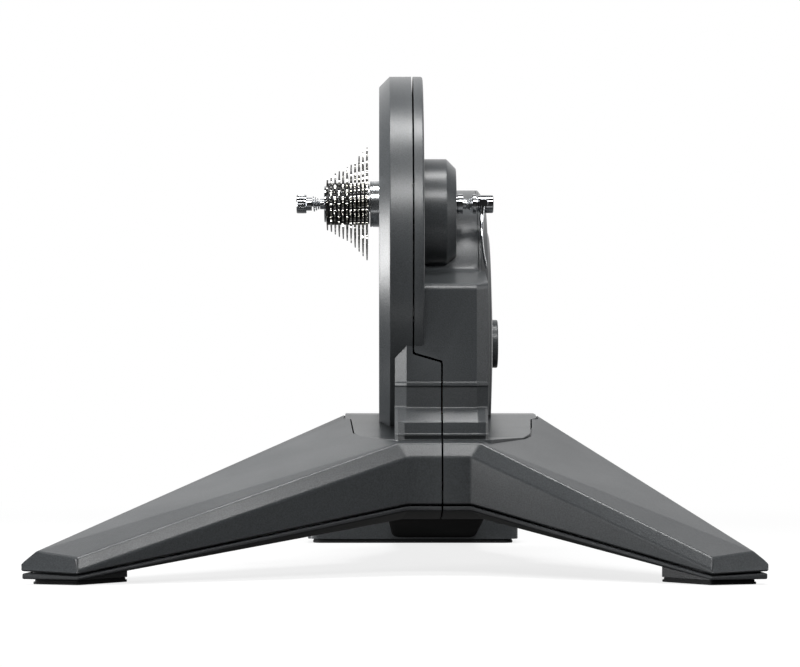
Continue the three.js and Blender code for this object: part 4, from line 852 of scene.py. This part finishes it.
def rearRings(inset, open):
    g, r = leg, rear
    wide, top = g["deckHalf"] + g["hubSideReach"] - inset, g["deckHalf"] - inset
    narrow, end = r["half"] + g["hubSideReach"] - inset, r["half"] - inset
    drop = g["deckMidZ"] - g["hubSideZ"]
    x = place["baseX"]
    (kneeY, kneeZ), (backY, backZ) = deck["side"][-2:]

    def ring(y, bottomHalf, topHalf, seamZ, sideZ, topZ):
        return [(x - bottomHalf, y, seamZ), (x + bottomHalf, y, seamZ), (x + bottomHalf, y, sideZ),
                (x + topHalf, y, topZ), (x - topHalf, y, topZ), (x - bottomHalf, y, sideZ)]

    return [
        ring(r["rootY"] - inset * 20, wide, top, g["rearSeamZ"] - open, g["hubSideZ"] - inset,
             g["deckMidZ"] - inset),
        ring(kneeY, wide, top, g["rearSeamZ"] - open, kneeZ - drop - inset, kneeZ - inset),
        ring(backY, narrow, end, r["midSeamZ"] - open, backZ - drop - inset, backZ - inset),
        ring(r["endY"], end, end - r["topInset"] + inset / 2, r["endSeamZ"] - open,
             r["height"] - inset - r["chamfer"] / 2, r["endTopZ"] - inset),
    ]


def rearLegMesh():
    skin = bevelled(loftMesh(rearRings(0, 0)), leg["edgeRound"], 4, 8)
    return tidied(combined(skin, "DIFFERENCE", loftMesh(rearRings(wall, leg["open"])), *deckTools()))


def rearTrayMesh():
    x = place["baseX"]

    def plate(y, half, seamZ):
        # The lower corners are drawn in, so the underside reads as a rounded tongue from the front
        top, edge = seamZ - place["seam"], x + half - tray["inset"]
        right = [(edge - a, top - tray["lip"] + b) for a, b in rear["trayCorner"]] + [(edge, top)]
        return [(a, y, b) for a, b in right] + [(2 * x - a, y, b) for a, b in reversed(right)]

    return bevelled(loftMesh([plate(*row) for row in rear["trayPlates"]]), 0.5, 2, 50)


def rearFootLine(inset, ends):
    r = rear
    left, right = r["left"] + inset + ends, r["right"] - inset - ends
    front, back = r["frontY"] + inset, r["backY"] - inset
    return rounded([(left, front), (right, front), (right, back), (left, back)], r["corner"] - inset / 2,
                   closed=True, steps=6)


def rearFootMesh(r):
    c, low = r["chamfer"], tray["padThickness"] + gap
    front = [(r["left"], low), (r["right"], low), (r["right"], r["height"] - c), (r["right"] - c, r["height"]),
             (r["left"] + c, r["height"]), (r["left"], r["height"] - c)]
    mesh = prismMesh(rounded(front, [0, 0, 4, 4, 4, 4], closed=True), "y", r["frontY"], r["backY"])
    mesh = combined(mesh, "INTERSECT", prismMesh(rearFootLine(0, 0), "z", 0, 40))
    return bevelled(tidied(mesh), 1.2, 3, 35)


def rearPadMesh(r):
    sole = bevelled(prismMesh(rearFootLine(1, r["padEnds"]), "z", 0, 2.4), 0.5, 2, 40)
    seat = prismMesh(rearFootLine(2.4, r["padEnds"]), "z", 1.8, tray["padThickness"])
    return tidied(combined(sole, "UNION", seat))


linkPiece("rearLegShell", rearLegMesh(), "powderCoatedLeg", "base", ["rear_leg_shell"])
# The rear tray's near-black finish is painted shade on the leg's underside
linkPiece("rearLegTray", rearTrayMesh(), "paintedShadeTray", "base", ["rear_leg_cover"])
linkPiece("rearFootBar", rearFootMesh(rear), "powderCoatedLeg", "base", ["rear_foot"])
linkPiece("rearFootStrip", rearPadMesh(rear), "mouldedRubberFoot", "base", ["rear_foot_pad"])
print("rear leg is made")


# Cassette: eleven stamped sprockets on a splined freehub
cassette = {
    "teeth": [25, 23, 21, 19, 17, 16, 15, 14, 13, 12, 11], "pitch": 3.72, "thickness": 1.8, "firstX": -24.9,
    "chainPitch": 12.7, "roller": 7.75, "rise": 2.3, "spacer": 19.6, "freehub": 17.3, "groove": 1.6,
    "splines": 9, "bore": 12.5, "collarEnd": -22.5,
    # Share of a period from a spline's middle, and whether that point is on its crest
    "splineShape": [(-0.32, True), (-0.16, True), (0, True), (0.16, True), (0.32, True), (0.38, False),
                    (0.5, False), (0.62, False)],
    # Share of a period from a gap's middle, and the height there from root to crest
    "toothShape": [(-0.5, 0.93), (-0.455, 1.0), (-0.36, 0.72), (-0.29, 0.42), (-0.22, 0.2), (-0.14, 0.06),
                   (0.0, 0.0), (0.14, 0.06), (0.22, 0.2), (0.29, 0.42), (0.36, 0.72), (0.43, 0.93)],
    "grindStart": 0.4, "grindLeft": 0.5, "grindRight": 0.35,
    "holesFrom": 27, "moreHolesFrom": 36, "holeRim": 2.2, "holeTurn": 0.35,
    "ramps": 4, "rampTurn": 0.4, "rampBelow": 5.2, "rampRadii": (3.4, 2.6), "rampDepth": 0.45,
}
lockring = {"outer": 17, "width": 1.6, "notches": 12, "notchAt": 12.6, "notchRadius": 1.2}


def sprocketX(i):
    return cassette["firstX"] - i * cassette["pitch"] - cassette["thickness"] / 2


def splineLine(outer, inner):
    period = 2 * math.pi / cassette["splines"]
    return [aroundAxle(outer if crest else inner, (i + share) * period)
            for i in range(cassette["splines"]) for share, crest in cassette["splineShape"]]


def toothLine(teeth):
    # Each gap is a roller's arc, each tooth a pointed crest cut short
    c = cassette
    pitchRadius = c["chainPitch"] / 2 / math.sin(math.pi / teeth)
    root = pitchRadius - c["roller"] / 2
    crest = root + c["roller"] / 2 + c["rise"]
    period = 2 * math.pi / teeth
    line = [aroundAxle(root + (crest - root) * height, (tooth + share) * period)
            for tooth in range(teeth) for share, height in c["toothShape"]]
    return line, root, crest


def sprocketMesh(i):
    c = cassette
    left = sprocketX(i)
    right = left + c["thickness"]
    line, root, crest = toothLine(c["teeth"][i])
    plate = prismMesh(line, "x", left, right)
    # The sides of the teeth are ground thin towards their crests
    start, end = root - c["grindStart"], crest + gap
    grind = [(left, 0), (left, start), (left + c["grindLeft"], end), (right - c["grindRight"], end),
             (right, start), (right, 0)]
    plate = combined(plate, "INTERSECT", turnedMesh(grind, *axleLine, 96))
    bore = prismMesh(splineLine(c["freehub"] + gap, c["freehub"] - c["groove"] + gap), "x", left - 9, right + 9)
    if i:
        ringLeft, ringRight, r = left + 0.2, sprocketX(i - 1) - gap, c["spacer"]
        ring = rounded([(ringLeft, 0), (ringLeft, r), (ringRight, r), (ringRight, 0)], [0, 0, 0.3, 0])
        plate = combined(plate, "UNION", turnedMesh(ring, *axleLine, 64))
    if root > c["holesFrom"]:
        # Lightening holes halfway between spacer and teeth
        holes = 8 if root > c["moreHolesFrom"] else 6
        middle, size = (root + c["spacer"]) / 2 + gap, (root - c["spacer"]) / 2 - c["holeRim"]
        for k in range(holes):
            line = aroundAxle(middle, 2 * math.pi * (k + c["holeTurn"] * (i % 2)) / holes)
            plate = combined(plate, "DIFFERENCE", pinMesh(left - 1, right + 1, size, line, 24))
    if i < len(c["teeth"]) - 1:
        # Shift ramps: shallow pockets ground in the side that faces the smaller sprocket
        wide, narrow = c["rampRadii"]
        for k in range(c["ramps"]):
            line = aroundAxle(crest - c["rampBelow"], 2 * math.pi * k / c["ramps"] + c["rampTurn"] * i)
            ramp = [(left - 1, 0), (left - 1, wide), (left + c["rampDepth"], narrow), (left + c["rampDepth"], 0)]
            plate = combined(plate, "DIFFERENCE", turnedMesh(ramp, *line, 20))
    return tidied(combined(plate, "DIFFERENCE", bore))


def blackenSpacer(piece):
    # The ring that keeps the sprockets apart is black nylon, made near black as painted shade between the
    # sprockets, and the stamped plate stays bright
    piece.data.materials.append(finishes["blackNylonAndShadeSpacer"])
    y, z = axleLine
    for face in piece.data.polygons:
        if math.hypot(face.center.y / mm - y, face.center.z / mm - z) < cassette["spacer"] + gap:
            face.material_index = 1


for i, teeth in enumerate(cassette["teeth"]):
    blackenSpacer(linkPiece("stampedSprocket%d" % teeth, sprocketMesh(i), "nickelPlatedSprocket", "cassette",
                            ["sprocket_%d" % teeth], smooth=35))


def lockringMesh(r):
    # Tool splines are cut in its bore
    right = sprocketX(10) - gap
    left, inner = right - r["width"], cassette["bore"]
    line = rounded([(left, inner), (left, r["outer"]), (right, r["outer"]), (right, inner), (left, inner)],
                   [0, 0.5, 0.2, 0, 0])
    ring = turnedMesh(line, *axleLine, 96)
    for k in range(r["notches"]):
        line = aroundAxle(r["notchAt"], 2 * math.pi * k / r["notches"])
        ring = combined(ring, "DIFFERENCE", pinMesh(left - 1, right + 1, r["notchRadius"], line, 12))
    return tidied(ring)


def freehubMesh(c):
    left = sprocketX(10) + 0.5
    right = sprocketX(0) + c["thickness"] + gap
    body = prismMesh(splineLine(c["freehub"], c["freehub"] - c["groove"]), "x", left, right + gap)
    r, end = c["freehub"] + c["groove"], c["collarEnd"]
    collar = turnedMesh(rounded([(right, 0), (right, r), (end, r), (end, 0)], [0, 0.3, 0.3, 0]), *axleLine, 64)
    bore = pinMesh(left - 5, -10, c["bore"], axleLine, 64)
    return tidied(combined(combined(body, "UNION", collar), "DIFFERENCE", bore))


linkPiece("notchedLockring", lockringMesh(lockring), "polishedChromeSkewer", "cassette", ["lockring"])
linkPiece("splinedFreehub", freehubMesh(cassette), "turnedAluminiumHub", "cassette", ["freehub_body"])
print("cassette is made")


# Axle, its end caps and the hub
axle = {"seat": 65, "stub": 4, "stubRadius": 4.9, "bore": 3.1, "radius": 7.5, "capLength": 8, "bossEnd": 53}
endCap = {"left": (-65, -57), "right": (53.3, 65), "radius": 9.5, "rings": 4, "ringStart": 0.9,
          "ringPitch": 0.85, "ringDepth": 0.35, "ringShape": [(0, 0), (1, 0.2), (1, 0.45), (0, 0.65)],
          "waist": [(0.42, 0), (0.48, 0.6), (0.56, 0.6), (0.62, 0)]}
hub = {"left": -22, "right": 17, "bore": 17.3, "barrel": 21.5,
       "groove": [(-20.4, 21.5), (-20.0, 21.1), (-19.4, 21.1), (-19.0, 21.5)], "flangeLeft": -2.8,
       "flangeRight": 1.2, "flange": 40, "neck": 21}


def axleMesh(a):
    end = a["seat"] + a["stub"]
    inner = -a["seat"] + a["capLength"] + gap
    return onAxleMesh([(-end, a["bore"]), (-end, a["stubRadius"]), (inner, a["stubRadius"]),
                       (inner, a["radius"]), (a["bossEnd"], a["radius"]), (a["bossEnd"], a["stubRadius"]),
                       (end, a["stubRadius"]), (end, a["bore"]), (-end, a["bore"])],
                      [0, 0.6, 0, 0.3, 0.3, 0, 0.6, 0, 0], 64)


def endCapMesh(side):
    # The seat face carries fine rings that bite into the dropout
    e = endCap
    left, right = e[side]
    inner = axle["stubRadius"] + gap
    face, step = (left, e["ringDepth"]) if side == "left" else (right, -e["ringDepth"])
    rings = [(face + step * a, inner + e["ringStart"] + k * e["ringPitch"] + b)
             for k in range(e["rings"]) for a, b in e["ringShape"]]
    waist = [(left + (right - left) * share, e["radius"] - depth) for share, depth in e["waist"]]
    middle = [(left, e["radius"])] + waist + [(right, e["radius"])]
    middle = rings + middle if side == "left" else middle + rings[::-1]
    return turnedMesh([(left, inner)] + middle + [(right, inner), (left, inner)], *axleLine, 96)


def hubMesh(h):
    return onAxleMesh([(h["left"], h["bore"]), (h["left"], h["barrel"]), *h["groove"],
                       (h["flangeLeft"], h["barrel"]), (h["flangeLeft"], h["flange"]),
                       (h["flangeRight"], h["flange"]), (h["flangeRight"], h["neck"]),
                       (h["right"], h["neck"]), (h["right"], h["bore"]), (h["left"], h["bore"])],
                      [0, 0.6, 0, 0, 0, 0, 0, 0.6, 0.6, 0, 0.5, 0, 0], 128)


linkPiece("groundAxle", axleMesh(axle), "groundSteelAxle", "base", ["axle"])
for side in ("left", "right"):
    linkPiece(side + "SeatCap", endCapMesh(side), "polishedChromeSkewer", "base", [side + "_end_cap"])
linkPiece("turnedHub", hubMesh(hub), "turnedAluminiumHub", "pulley", ["hub_shell"])
print("axle and hub are made")


# Quick release
lever = {"pivotX": 83.9, "eye": 4.6, "eyeWidth": 5, "thickness": 3.4, "length": 61.6, "dip": 4.8, "bow": 2.6,
         "lean": 12, "paddle": 11, "paddleStart": 34, "widenFrom": 8, "tipRound": 7, "cam": 3.8, "camEnd": 1.5,
         "socket": 1.6, "sections": 44, "around": 28}
head = {"radius": 8.5, "left": 77.9, "right": 93.8, "flangeLeft": 74.1, "flangeRadius": 9.2, "groove": 0.9}
nut = {"radius": 8.7, "left": -91.1, "right": -76.6, "collar": 5, "collarRadius": 6.2, "bore": 2.8, "flutes": 18,
       "fluteAt": 9.35}
rod = {"radius": 2.5, "left": -87.8, "right": 80.0, "threadEnd": -66, "pitch": 0.8, "threadDepth": 0.35}
spring = {"large": 7.4, "small": 4.4, "wire": 0.9, "turns": 3, "steps": 90, "sides": 12,
          "nutEnds": (-75.85, -69.75), "leverEnds": (73.35, 69.75)}


def springMesh(fromX, toX):
    # Round wire along a cone
    s = spring
    steps, sides, places = s["steps"], s["sides"], []
    for i in range(steps + 1):
        share = i / steps
        radius = s["large"] + (s["small"] - s["large"]) * share
        y, z = aroundAxle(radius, 2 * math.pi * s["turns"] * share)
        places.append(Vector((fromX + (toX - fromX) * share, y, z)))
    rings = []
    for i, point in enumerate(places):
        along = (places[min(i + 1, steps)] - places[max(i - 1, 0)]).normalized()
        out = Vector((0, point.y - axleLine[0], point.z - axleLine[1])).normalized()
        side = along.cross(out).normalized()
        out = side.cross(along)
        rings.append([tuple(point + (out * math.cos(a) + side * math.sin(a)) * s["wire"] / 2)
                      for a in (2 * math.pi * k / sides for k in range(sides))])
    return loftMesh(rings)


def nutMesh(n):
    # Fluted grip, then a plain collar
    gripEnd = n["right"] - n["collar"]
    body = onAxleMesh([(n["left"], 0), (n["left"], n["radius"]), (gripEnd, n["radius"]),
                       (gripEnd, n["collarRadius"]), (n["right"], n["collarRadius"]),
                       (n["right"], n["bore"]), (n["left"] + 3, n["bore"]), (n["left"] + 3, 0)],
                      [0, 1.3, 1.0, 0.3, 0.6, 0.2, 0, 0], 96)
    for k in range(n["flutes"]):
        line = aroundAxle(n["fluteAt"], 2 * math.pi * k / n["flutes"])
        body = combined(body, "DIFFERENCE", pinMesh(n["left"] + 1.8, gripEnd - 2.2, 1.0, line, 16))
    return tidied(body)


def rodMesh(r):
    # Rolled thread at the nut's end
    radius, half = r["radius"], r["pitch"] / 2
    line = [(r["left"], 0), (r["left"], radius - 0.4)]
    x = r["left"] + half
    while x < r["threadEnd"]:
        line += [(x, radius), (x + half, radius - r["threadDepth"])]
        x += r["pitch"]
    return turnedMesh(line + [(x, radius), (r["right"], radius), (r["right"], 0)], *axleLine, 32)


for name, node, body, ends in (("nutSpring", "nut_side_spring", "nut_spring", spring["nutEnds"]),
                               ("leverSpring", "lever_side_spring", "base", spring["leverEnds"])):
    linkPiece(name, springMesh(*ends), "zincPlatedSteel", body, [node], smooth=60,
              weighted=False)
linkPiece("knurledNut", nutMesh(nut), "polishedChromeSkewer", "skewer_nut", ["skewer_nut"])
linkPiece("threadedRod", rodMesh(rod), "zincPlatedSteel", "skewer_rod", ["skewer_rod"])


def crossBar(radius, front, back, sides=48):
    return prismMesh(circleLine(lever["pivotX"], place["axleZ"], radius, sides), "y", front, back)


def headMesh(h):
    # A turned barrel with a flange, a groove behind the flange and a cross bore for the cam
    low, end = h["radius"] - h["groove"], h["left"] + 1.2
    body = onAxleMesh([(h["flangeLeft"], 0), (h["flangeLeft"], h["flangeRadius"]),
                       (h["left"], h["flangeRadius"]), (h["left"], low), (end, low),
                       (h["left"] + 1.8, h["radius"]), (h["right"], h["radius"]), (h["right"], 0)],
                      [0, 1.0, 0.9, 0.3, 0.3, 0.3, 1.6, 0], 128)
    rodHole = pinMesh(60, lever["pivotX"], nut["bore"], axleLine, 32)
    return tidied(combined(body, "DIFFERENCE", crossBar(lever["cam"] + gap, -110, -60), rodHole))


def leverPoint(share, sideways):
    # A place on the lever's curve, seen from the front: its eye, a dip inwards, and a bow out at the end
    a = Vector((lever["pivotX"], place["axleZ"]))
    b = Vector((lever["pivotX"] - lever["dip"], place["axleZ"] - lever["length"] / 2))
    c = Vector((lever["pivotX"] + lever["bow"], place["axleZ"] - lever["length"]))
    point = a.lerp(b, share).lerp(b.lerp(c, share), share)
    along = (a.lerp(b, share) - b.lerp(c, share)).normalized()
    return point + Vector((-along.y, along.x)) * -sideways


def leverMesh(v):
    # Forged arm: oval sections that thin and widen from the eye to a paddle
    back = place["axleY"] - head["radius"] - gap
    front = back - v["eyeWidth"]
    rings = []
    for i in range(v["sections"] + 1):
        share = 0.03 + 0.97 * i / v["sections"]
        down = share * v["length"]
        grow = min(1, max(0, (down - v["widenFrom"]) / (v["paddleStart"] - v["widenFrom"])))
        grow = grow * grow * (3 - 2 * grow)
        width = v["eyeWidth"] / 2 + (v["paddle"] - v["eyeWidth"]) / 2 * grow
        thick = v["thickness"] / 2 * (1.25 - 0.45 * grow)
        end = max(0, (down - v["length"] + v["tipRound"]) / v["tipRound"])
        close = math.sqrt(max(0.0, 1 - end * end * 0.985))
        y = back - v["eyeWidth"] / 2 - v["lean"] * share
        ring = []
        for k in range(v["around"]):
            angle = 2 * math.pi * k / v["around"]
            c, s = math.cos(angle), math.sin(angle)
            across = math.copysign(abs(c) ** 0.7, c) * thick * (0.35 + 0.65 * close)
            point = leverPoint(share, across)
            ring.append((point.x, y + math.copysign(abs(s) ** 0.8, s) * width * close, point.y))
        rings.append(ring)
    eye = bevelled(crossBar(v["eye"], front, back), 0.9, 3, 40)
    cam = crossBar(v["cam"], back - 1, place["axleY"] + head["radius"] - v["camEnd"])
    socket = crossBar(v["socket"], front - 1, front + 1.2, 6)
    return tidied(combined(combined(loftMesh(rings), "UNION", eye, cam), "DIFFERENCE", socket))


linkPiece("turnedHead", headMesh(head), "polishedChromeSkewer", "skewer_head", ["skewer_head"])
linkPiece("forgedLever", leverMesh(lever), "polishedChromeSkewer", "skewer_lever", ["skewer_lever"],
          smooth=50)
print("quick release is made")


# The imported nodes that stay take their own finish
kept = {
    "rear_beam": "paintedSteelBeam", "main_frame": "paintedCastIron", "drive_pulley": "turnedAluminiumHub",
    "drive_belt": "ribbedRubberBelt", "flywheel": "turnedSteelFlywheel", "flywheel_shaft": "groundSteelAxle",
    "small_pulley": "turnedSteelFlywheel", "brake_stator": "blackOxideSteel",
    "control_board": "solderMaskedBoard", "power_inlet": "mouldedNylonInlet",
}
for node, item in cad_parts.items():
    finish = kept.get(node)
    if node.startswith("brake_coil"):
        finish = "enamelledCopperCoil"
    elif "bearing" in node:
        finish = "groundSteelAxle"
    if finish:
        item.data.materials.clear()
        item.data.materials.append(finishes[finish])
print("kept nodes are finished")
